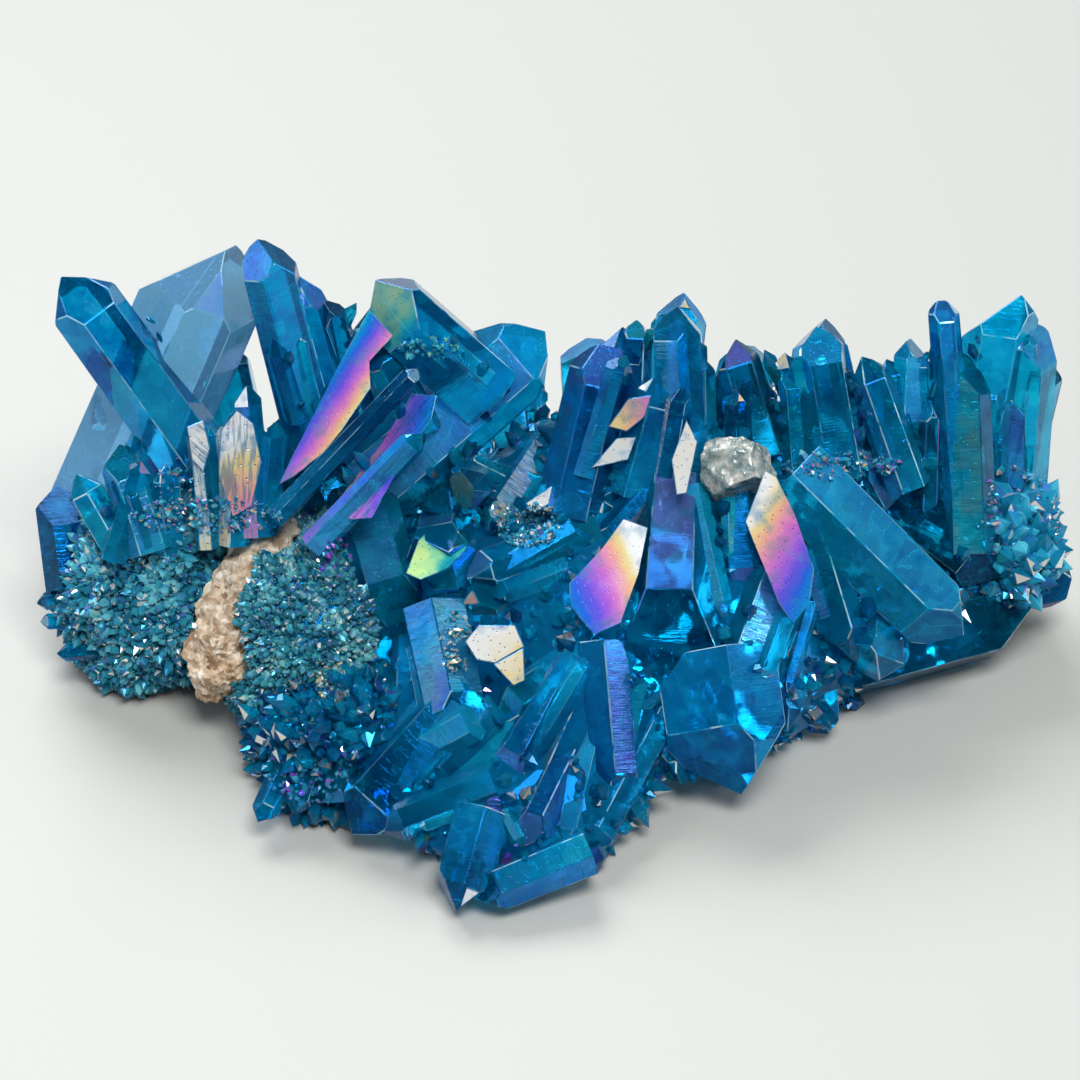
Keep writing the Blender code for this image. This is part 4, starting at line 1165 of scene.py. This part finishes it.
# The coated points: the size in millimetres of the clouds of tiny bubbles and of the healed cracks, and how
# the cracks lie; how much each patch between cracks shifts the blue, and how much it is lifted in all.
CLOUD_SIZE = 3
CRACK_SIZE = 2.8
CRACK_TURN = (0.5, 0.4, 0.9)
CRACK_STRETCH = (1.0, 0.55, 1.7)
CRACK_SHIFT = 0.34
BLUE_LIFT = 0.74
PALE_BLUE = "#a4ccf6"
HAZE_BLUE = "#28b8ea"
BODY_BLUE = "#18b4ea"
BODY_DENSITY = 8.0

# Wisps follow one level of the cloud, this wide. The milky root fades out up the point.
WISP_LEVEL = 0.47
WISP_WIDTH = 0.012
WISP_STRENGTH = 0.35
MILK_FADE = -1.2
MILK_AT_ROOT = 0.75
HAZE_SHARE = 0.5

# Growth lines and etch pits on a millimetre of a face, and how slowly a line changes along its run.
LINES_PER_MM = 3.6
LINE_RUN = 0.22
PITS_PER_MM = 0.95
PIT_RIM = (0.05, 0.1)
# Painted shade in the etch pits, where they break the film's painted reflection.
PIT_SHADE = "#123a66"
# A pale colour on the worn edges: partly chipped, frosted quartz and partly a painted highlight.
CHIP_AND_HIGHLIGHT_WHITE = "#b8e8f8"
RELIEF_DEPTH = 0.12

# How clear a point is at least and how much more by chance, and what haze, film and wear take from that.
CLEAR_CHANCE = 0.22
CLEAR_LEAST = 0.76
HAZE_CLOUDS = -0.6
FILM_HIDES = -0.8
WEAR_CLOUDS = -0.3
MILK_ROUGH = 0.3
MILK_SMOOTH = -0.12
WEAR_ROUGH = 0.12
FILM_METAL = 0.4


def coated_quartz():
    """Aqua aura quartz: clear rock crystal, as grown, with gold vapour fused to it in a vacuum.

    Glassy facets with a blue gloss over an azure to teal body that is cloudy at the root. Healed cracks
    show as flat patches of lighter and darker blue with pale wisps between. Where the film is thick
    enough it throws back gold, pink and violet, by the shader's thin film and as a reflection painted into
    the base colour; worn edges carry a pale painted highlight, and etch pits painted shade.
    """
    material, tree = bare_finish("coated_quartz_points")
    grain, coat, body = [add(tree, "ShaderNodeSeparateXYZ", {0: add(
        tree, "ShaderNodeAttribute", attribute_name=layer).outputs["Vector"]}).outputs for layer in LAYERS]
    place = add(tree, "ShaderNodeTexCoord").outputs["Object"]

    # Clouds of tiny bubbles, and healed cracks that part the body into patches of lighter and darker blue.
    cloud = add(tree, "ShaderNodeTexNoise", {"Vector": place, "Scale": 1 / (CLOUD_SIZE * MM),
                                             "Detail": 2.0, "Roughness": 0.62})
    slanted = add(tree, "ShaderNodeMapping", {"Vector": place, "Rotation": CRACK_TURN,
                                              "Scale": CRACK_STRETCH})
    cracks = add(tree, "ShaderNodeTexVoronoi", {"Vector": slanted, "Scale": 1 / (CRACK_SIZE * MM)})
    shard = add(tree, "ShaderNodeSeparateXYZ", {0: cracks.outputs["Color"]}).outputs
    level = add(tree, "ShaderNodeMath", {0: cloud, 1: 1.0, 2: body[0]}, operation="MULTIPLY_ADD")
    level = add(tree, "ShaderNodeMath", {0: shard[0], 1: CRACK_SHIFT, 2: level},
                operation="MULTIPLY_ADD")
    level = add(tree, "ShaderNodeMath", {0: level, 1: BLUE_LIFT}, operation="SUBTRACT", use_clamp=True)
    azure = add(tree, "ShaderNodeValToRGB", {0: level}, AZURE)
    teal = add(tree, "ShaderNodeValToRGB", {0: level}, TEAL)
    blue = add(tree, "ShaderNodeMix", {0: body[1], 6: azure, 7: teal}, data_type="RGBA").outputs[2]
    pale = add(tree, "ShaderNodeMath", {0: body[0], 1: -1.0}, operation="MULTIPLY", use_clamp=True)
    blue = add(tree, "ShaderNodeMix", {0: pale, 6: blue, 7: linear(PALE_BLUE)},
               data_type="RGBA").outputs[2]

    # Pale wisps, the rims of healed cracks, cross some of the patches.
    wisp = add(tree, "ShaderNodeMath", {0: cloud, 1: WISP_LEVEL, 2: WISP_WIDTH}, operation="COMPARE")
    wisp = add(tree, "ShaderNodeMath", {0: wisp, 1: shard[1]}, operation="MULTIPLY")
    rooted = add(tree, "ShaderNodeMath", {0: grain[2], 1: MILK_FADE, 2: MILK_AT_ROOT},
                 operation="MULTIPLY_ADD", use_clamp=True)
    milky = add(tree, "ShaderNodeMath", {0: rooted, 1: cloud}, operation="MULTIPLY")
    haze = add(tree, "ShaderNodeMath", {0: wisp, 1: WISP_STRENGTH, 2: milky}, operation="MULTIPLY_ADD")
    haze = add(tree, "ShaderNodeMath", {0: haze, 1: HAZE_SHARE}, operation="MULTIPLY", use_clamp=True)
    blue = add(tree, "ShaderNodeMix", {0: haze, 6: blue, 7: linear(HAZE_BLUE)},
               data_type="RGBA").outputs[2]

    # Growth lines cross the sides of quartz every few hundredths of a millimetre; they are drawn
    # about 0.25 mm apart here, so that they show. Natural etch pits 0.2 mm across dot the faces.
    along = add(tree, "ShaderNodeCombineXYZ", {
        0: add(tree, "ShaderNodeMath", {0: grain[0], 1: LINE_RUN}, operation="MULTIPLY"),
        1: add(tree, "ShaderNodeMath", {0: grain[1], 1: LINES_PER_MM, 2: body[0]},
               operation="MULTIPLY_ADD")})
    lines = add(tree, "ShaderNodeTexNoise", {"Vector": along, "Scale": 1.0, "Detail": 2.0,
                                             "Roughness": 0.65}, noise_dimensions="2D")
    is_side = add(tree, "ShaderNodeMath", {0: body[2], 1: float(SIDE), 2: 0.3}, operation="COMPARE")
    on_face = add(tree, "ShaderNodeCombineXYZ", {0: grain[0], 1: grain[1]})
    etch = add(tree, "ShaderNodeTexVoronoi", {"Vector": on_face, "Scale": PITS_PER_MM},
               voronoi_dimensions="2D")
    pit = add(tree, "ShaderNodeMapRange", {"Value": etch.outputs["Distance"], "From Min": PIT_RIM[0],
                                           "From Max": PIT_RIM[1], "To Min": 1.0, "To Max": 0.0})

    # The film: its colour drifts a little, and its painted reflection shows in patches and breaks up into
    # streaks on the striated sides.
    drift = add(tree, "ShaderNodeMath", {0: cloud, 1: 0.2, 2: -0.1}, operation="MULTIPLY_ADD")
    film = add(tree, "ShaderNodeMath", {0: coat[0], 1: drift}, operation="ADD", use_clamp=True)
    painted_film_reflection = add(tree, "ShaderNodeValToRGB", {0: film}, PAINTED_FILM_COLOURS)
    streak = add(tree, "ShaderNodeMapRange", {"Value": lines, "From Min": 0.40, "From Max": 0.55,
                                              "To Min": 0.5, "To Max": 1.0})
    streak = add(tree, "ShaderNodeMix", {0: is_side, 2: 1.0, 3: streak.outputs[0]})
    patchy_film_sheen = add(tree, "ShaderNodeMapRange", {"Value": cloud, "From Min": 0.3, "From Max": 0.5,
                                                 "To Min": 0.55, "To Max": 1.0})
    gleam = add(tree, "ShaderNodeMath", {0: coat[1], 1: streak}, operation="MULTIPLY",
                use_clamp=True)
    gleam = add(tree, "ShaderNodeMath", {0: gleam, 1: patchy_film_sheen}, operation="MULTIPLY")
    # Where it shows, the film's painted reflection replaces the body's blue in the base colour.
    colour = add(tree, "ShaderNodeMix", {0: gleam, 6: blue, 7: painted_film_reflection}, data_type="RGBA").outputs[2]
    # Etch pits are darkened with painted shade where the film's painted reflection shows.
    pit_shade_mask = add(tree, "ShaderNodeMath", {0: pit.outputs[0], 1: gleam}, operation="MULTIPLY")
    colour = add(tree, "ShaderNodeMix", {0: pit_shade_mask, 6: colour, 7: linear(PIT_SHADE)},
                 data_type="RGBA").outputs[2]
    # Worn edges turn pale in broken runs: partly chipped quartz, partly a painted highlight along the edge.
    broken = add(tree, "ShaderNodeMapRange", {"Value": cloud, "From Min": 0.42, "From Max": 0.53})
    chip_and_highlight = add(tree, "ShaderNodeMath", {0: coat[2], 1: broken}, operation="MULTIPLY")
    colour = add(tree, "ShaderNodeMix", {0: chip_and_highlight, 6: colour, 7: linear(CHIP_AND_HIGHLIGHT_WHITE)},
                 data_type="RGBA").outputs[2]

    # Each point is clearer or cloudier by chance, drawn from its depth of blue. Unworn faces are smooth.
    clear = add(tree, "ShaderNodeMath", {0: body[0], 1: 37.0}, operation="MULTIPLY")
    clear = add(tree, "ShaderNodeMath", {0: clear}, operation="FRACT")
    clear = add(tree, "ShaderNodeMath", {0: clear, 1: CLEAR_CHANCE, 2: CLEAR_LEAST},
                operation="MULTIPLY_ADD")
    clear = add(tree, "ShaderNodeMath", {0: haze, 1: HAZE_CLOUDS, 2: clear}, operation="MULTIPLY_ADD")
    clear = add(tree, "ShaderNodeMath", {0: gleam, 1: FILM_HIDES, 2: clear}, operation="MULTIPLY_ADD")
    clear = add(tree, "ShaderNodeMath", {0: coat[2], 1: WEAR_CLOUDS, 2: clear}, operation="MULTIPLY_ADD",
                use_clamp=True)
    rough = add(tree, "ShaderNodeMath", {0: milky, 1: MILK_ROUGH, 2: MILK_SMOOTH},
                operation="MULTIPLY_ADD", use_clamp=True)
    rough = add(tree, "ShaderNodeMath", {0: coat[2], 1: WEAR_ROUGH, 2: rough}, operation="MULTIPLY_ADD")
    metal = add(tree, "ShaderNodeMath", {0: gleam, 1: FILM_METAL}, operation="MULTIPLY")

    # The film interferes only where it shows. Growth lines stand out on the sides and hardly elsewhere.
    shows = add(tree, "ShaderNodeMath", {0: coat[1], 1: 5.0}, operation="MULTIPLY", use_clamp=True)
    thick = add(tree, "ShaderNodeMath", {0: film, 1: FILM_RANGE, 2: FILM_THINNEST},
                operation="MULTIPLY_ADD")
    thick = add(tree, "ShaderNodeMath", {0: thick, 1: shows}, operation="MULTIPLY")
    ridges = add(tree, "ShaderNodeMath", {0: is_side, 1: 0.85, 2: 0.15}, operation="MULTIPLY_ADD")
    relief = add(tree, "ShaderNodeMath", {0: lines, 1: ridges}, operation="MULTIPLY")
    relief = add(tree, "ShaderNodeMath", {0: pit.outputs[0], 1: -0.5, 2: relief}, operation="MULTIPLY_ADD")
    bump = add(tree, "ShaderNodeBump", {"Height": relief, "Strength": 0.5,
                                          "Distance": RELIEF_DEPTH * MM})
    shader = add(tree, "ShaderNodeBsdfPrincipled", {
        "Base Color": colour, "Transmission Weight": clear, "Metallic": metal, "Roughness": rough,
        "IOR": QUARTZ_INDEX, "Specular IOR Level": COAT_GLOSS_LEVEL,
        "Specular Tint": linear(GLASS_GLOSS), "Thin Film Thickness": thick,
        "Thin Film IOR": FILM_INDEX, "Normal": bump})
    glow = add(tree, "ShaderNodeVolumeAbsorption", {"Color": linear(BODY_BLUE),
                                                    "Density": BODY_DENSITY})
    add(tree, "ShaderNodeOutputMaterial", {"Surface": shader, "Volume": glow})
    return material


# The druse: the size in millimetres of its pale and deep patches, how much they shift the blue, and how
# much it is lifted in all. The clear share and the roughness of its tiny points and of the glassy ones.
PATCH_SIZE = 4
PATCH_SHIFT = 1.3
DRUSE_LIFT = 0.7
DRUSE_METAL = 0.6
DRUSE_CLEAR = 0.2
DRUSE_ROUGH = 0.08
SMALL_CLEAR = 0.8
SMALL_ROUGH = 0.0


def coated_druse(name, azures, teals, clear, rough):
    """The same coat on small points: a druse of them glitters like sugar and looks half solid, and the
    larger ones are glassy.
    """
    material, tree = bare_finish(name)
    coat, body = [add(tree, "ShaderNodeSeparateXYZ", {0: add(
        tree, "ShaderNodeAttribute", attribute_name=layer).outputs["Vector"]}).outputs
        for layer in LAYERS[1:]]
    place = add(tree, "ShaderNodeTexCoord").outputs["Object"]

    # The crust runs from pale to deep over patches some millimetres across.
    patch = add(tree, "ShaderNodeTexNoise", {"Vector": place, "Scale": 1 / (PATCH_SIZE * MM),
                                             "Detail": 1.0})
    level = add(tree, "ShaderNodeMath", {0: patch, 1: PATCH_SHIFT, 2: body[0]},
                operation="MULTIPLY_ADD")
    level = add(tree, "ShaderNodeMath", {0: level, 1: DRUSE_LIFT}, operation="SUBTRACT",
                use_clamp=True)
    azure = add(tree, "ShaderNodeValToRGB", {0: level}, azures)
    teal = add(tree, "ShaderNodeValToRGB", {0: level}, teals)
    blue = add(tree, "ShaderNodeMix", {0: body[1], 6: azure, 7: teal}, data_type="RGBA").outputs[2]
    # Painted film reflections and glints on the facets that show them, mixed into the base colour.
    painted_film_reflection = add(tree, "ShaderNodeValToRGB", {0: coat[0]}, PAINTED_FILM_COLOURS)
    colour = add(tree, "ShaderNodeMix", {0: coat[1], 6: blue, 7: painted_film_reflection}, data_type="RGBA").outputs[2]
    metal = add(tree, "ShaderNodeMath", {0: coat[1], 1: DRUSE_METAL}, operation="MULTIPLY")
    shader = add(tree, "ShaderNodeBsdfPrincipled", {
        "Base Color": colour, "Transmission Weight": clear, "Metallic": metal, "Roughness": rough,
        "IOR": QUARTZ_INDEX, "Specular IOR Level": COAT_GLOSS_LEVEL,
        "Specular Tint": linear(DRUSE_GLOSS)})
    add(tree, "ShaderNodeOutputMaterial", {"Surface": shader})
    return material


# Sizes in millimetres on the host stone and the stump: stains, grains, clouds and the finest roughness,
# and how high the grey, unstained part of the stone starts and is in full.
STAIN_SIZE = 3.2
GRAIN_SIZE = 0.9
ROCK_FINE_SIZE = 0.35
ROCK_FINE_DEPTH = 0.2
MILK_SIZE = 1.6
STUMP_FINE_SIZE = 0.5
STUMP_FINE_DEPTH = 0.15
GREY_STARTS = 12
GREY_FULL = 19
GRAIN_GLOW = (1.2 * MM, 0.8 * MM, 0.5 * MM)


def iron_stained_rock():
    """Weathered vein rock: sugary quartz grains stained tan and rust, dull, with grey clear grains."""
    material, tree = bare_finish("iron_stained_rock")
    place = add(tree, "ShaderNodeTexCoord").outputs["Object"]
    stain = add(tree, "ShaderNodeTexNoise", {"Vector": place, "Scale": 1 / (STAIN_SIZE * MM),
                                             "Detail": 5.0, "Roughness": 0.65})
    grains = add(tree, "ShaderNodeTexVoronoi", {"Vector": place, "Scale": 1 / (GRAIN_SIZE * MM)})
    tone = add(tree, "ShaderNodeSeparateXYZ", {0: grains.outputs["Color"]})
    mottled = add(tree, "ShaderNodeMath", {0: stain, 1: 0.85}, operation="MULTIPLY")
    mottled = add(tree, "ShaderNodeMath", {0: tone, 1: 0.35, 2: mottled}, operation="MULTIPLY_ADD")
    rust = add(tree, "ShaderNodeValToRGB", {0: mottled},
               [(0.22, "#4e3826"), (0.38, "#7f6248"), (0.52, "#a68b6e"), (0.66, "#bfab94"),
                (0.8, "#d4c8b8"), (0.95, "#e8e2d8")])
    clear_grain = add(tree, "ShaderNodeValToRGB", {0: mottled},
                      [(0.22, "#4c5a58"), (0.45, "#7f8f8c"), (0.7, "#aab4ae"), (0.95, "#d8dad2")])

    # The upper part is unstained grey quartz.
    height = add(tree, "ShaderNodeSeparateXYZ", {0: place}).outputs[2]
    upper = add(tree, "ShaderNodeMapRange", {"Value": height, "From Min": GREY_STARTS * MM,
                                             "From Max": GREY_FULL * MM})
    broken = add(tree, "ShaderNodeMath", {0: stain, 1: 1.4, 2: -0.45}, operation="MULTIPLY_ADD")
    share = add(tree, "ShaderNodeMath", {0: upper, 1: broken}, operation="MULTIPLY", use_clamp=True)
    colour = add(tree, "ShaderNodeMix", {0: share, 6: rust, 7: clear_grain}, data_type="RGBA").outputs[2]
    fine = add(tree, "ShaderNodeTexNoise", {"Vector": place, "Scale": 1 / (ROCK_FINE_SIZE * MM),
                                            "Detail": 3.0})
    bump = add(tree, "ShaderNodeBump", {"Height": fine, "Strength": 0.5,
                                        "Distance": ROCK_FINE_DEPTH * MM})
    shader = add(tree, "ShaderNodeBsdfPrincipled", {
        "Base Color": colour, "Roughness": 0.5, "Subsurface Weight": 0.15,
        "Subsurface Radius": GRAIN_GLOW, "Normal": bump})
    add(tree, "ShaderNodeOutputMaterial", {"Surface": shader})
    return material


def bare_quartz():
    """Milky quartz with fresh breaks: grey-white, wet-looking, half clear."""
    material, tree = bare_finish("bare_quartz")
    place = add(tree, "ShaderNodeTexCoord").outputs["Object"]
    cloud = add(tree, "ShaderNodeTexNoise", {"Vector": place, "Scale": 1 / (MILK_SIZE * MM),
                                             "Detail": 5.0, "Roughness": 0.6})
    colour = add(tree, "ShaderNodeValToRGB", {0: cloud},
                 [(0.3, "#6f9aa4"), (0.45, "#a9bcbc"), (0.6, "#ccd0c8"), (0.75, "#f4f4ee")])
    clear = add(tree, "ShaderNodeMath", {0: cloud, 1: -0.9, 2: 1.05}, operation="MULTIPLY_ADD",
                use_clamp=True)
    fine = add(tree, "ShaderNodeTexNoise", {"Vector": place, "Scale": 1 / (STUMP_FINE_SIZE * MM),
                                            "Detail": 3.0})
    bump = add(tree, "ShaderNodeBump", {"Height": fine, "Strength": 0.35,
                                        "Distance": STUMP_FINE_DEPTH * MM})
    shader = add(tree, "ShaderNodeBsdfPrincipled", {
        "Base Color": colour, "Transmission Weight": clear, "Roughness": 0.14, "IOR": QUARTZ_INDEX,
        "Normal": bump})
    add(tree, "ShaderNodeOutputMaterial", {"Surface": shader})
    return material


def matt_white_laminate():
    """A melamine table top, pressed between smooth plates: matt white with a faint drift in its tone."""
    material, tree = bare_finish("matt_white_laminate")
    place = add(tree, "ShaderNodeTexCoord").outputs["Object"]
    drift = add(tree, "ShaderNodeTexNoise", {"Vector": place, "Scale": 1.6, "Detail": 2.0})
    white = add(tree, "ShaderNodeValToRGB", {0: drift}, [(0.3, "#9ea19f"), (0.7, "#a2a4a2")])
    shader = add(tree, "ShaderNodeBsdfPrincipled", {"Base Color": white, "Roughness": 0.55})
    add(tree, "ShaderNodeOutputMaterial", {"Surface": shader})
    return material


# ---- the studio ------------------------------------------------------------------------------------

# The table, in metres: how far it reaches from the cluster and how far under it lies. The room's light.
TABLE_REACH = 2.5
TABLE_DROP = 0.0001
ROOM_TINT = "#e2e6e6"
ROOM_STRENGTH = 0.32

# Turns of light: in all, off matt surfaces, and off glossy ones.
TURNS = 5
MATT_TURNS = 1
GLOSSY_TURNS = 2
SENSOR_WIDTH = 36


def lay_table():
    mesh = bpy.data.meshes.new("table_top")
    reach = TABLE_REACH
    mesh.from_pydata([(-reach, -reach, 0), (reach, -reach, 0), (reach, reach, 0), (-reach, reach, 0)],
                     [], [(0, 1, 2, 3)])
    table = bpy.data.objects.new("table_top", mesh)
    table.location.z = -TABLE_DROP
    mesh.materials.append(matt_white_laminate())
    bpy.context.scene.collection.objects.link(table)


def hang_light(name, place, width, height, power, tint):
    light = bpy.data.lights.new(name, "AREA")
    light.shape = "RECTANGLE"
    light.size = width
    light.size_y = height
    light.energy = power
    light.color = linear(tint)[:3]
    lamp = bpy.data.objects.new(name, light)
    lamp.location = place
    lamp.rotation_euler = (BOARD_MIDDLE * MM - Vector(place)).to_track_quat("-Z", "Y").to_euler()
    bpy.context.scene.collection.objects.link(lamp)


def light_studio():
    world = bpy.data.worlds.new("studio")
    world.use_nodes = True
    background = world.node_tree.nodes["Background"]
    background.inputs["Color"].default_value = linear(ROOM_TINT)
    background.inputs["Strength"].default_value = ROOM_STRENGTH
    bpy.context.scene.world = world
    hang_light("window_behind", (-0.25, 0.55, 0.7), 0.6, 0.45, 9.5, "#ffffff")
    hang_light("ceiling_front", (0.12, -0.35, 0.85), 0.42, 0.32, 9.5, "#fffcf8")
    hang_light("left_card", (-0.7, -0.15, 0.35), 0.4, 0.4, 1.4, "#f2f6ff")
    hang_light("right_card", (0.7, 0.05, 0.4), 0.3, 0.4, 1.6, "#ffffff")


def limit_light_paths():
    """Five turns are enough to see through a crystal to what stands behind it."""
    cycles = bpy.context.scene.cycles
    cycles.max_bounces = TURNS
    cycles.diffuse_bounces = MATT_TURNS
    cycles.glossy_bounces = GLOSSY_TURNS
    cycles.use_light_tree = False


def keep_colours_true():
    bpy.context.scene.view_settings.view_transform = "Standard"


def place_camera():
    camera = bpy.data.cameras.new("camera")
    camera.sensor_width = SENSOR_WIDTH
    camera.lens = camera.sensor_width * EYE_DISTANCE / BOARD_WIDTH
    camera.clip_start = 0.01
    eye = bpy.data.objects.new("camera", camera)
    eye.location = EYE * MM
    eye.rotation_euler = (-TO_EYE).to_track_quat("-Z", "Y").to_euler()
    bpy.context.scene.collection.objects.link(eye)
    bpy.context.scene.camera = eye


# ---- everything in its place -----------------------------------------------------------------------

def dress(piece, finish):
    piece.data.materials.clear()
    piece.data.materials.append(finish)
    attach(piece, "root")


def dress_cluster():
    points_finish = coated_quartz()
    druse_finish = coated_druse("coated_quartz_druse", DRUSE_BLUE, DRUSE_TEAL, DRUSE_CLEAR, DRUSE_ROUGH)
    small_finish = coated_druse("coated_quartz_small_points", AZURE, TEAL, SMALL_CLEAR, SMALL_ROUGH)
    cluster = grow_cluster()
    dress(cluster, points_finish)
    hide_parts("quartz_cluster")

    rock = shape_stone()
    dress(rock, iron_stained_rock())
    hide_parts("matrix_stone")

    stone = stone_mesh(3, STONE_GAP)
    stone_tree = BVHTree.FromBMesh(stone)
    for name, lumps in (("druse_left", ("left_lobe",)), ("druse_neck", ("neck",)),
                        ("druse_low", ("wall_foot",)), ("druse_right", ("right_crust",)),
                        ("druse_front", ("mound", "front_apron", "ridge_core", "right_mass")),
                        ("druse_back", ("neck_back",))):
        finish = small_finish if name in ("druse_front", "druse_back", "druse_low") else druse_finish
        dress(grow_druse(name, lumps, cluster, stone_tree), finish)
    dress(crowd_crevices(cluster, stone_tree), small_finish)
    stone.free()
    dress(sprinkle_sparkles(cluster), druse_finish)
    dress(shape_bare_quartz(), bare_quartz())


lay_table()
light_studio()
place_camera()
limit_light_paths()
keep_colours_true()
dress_cluster()
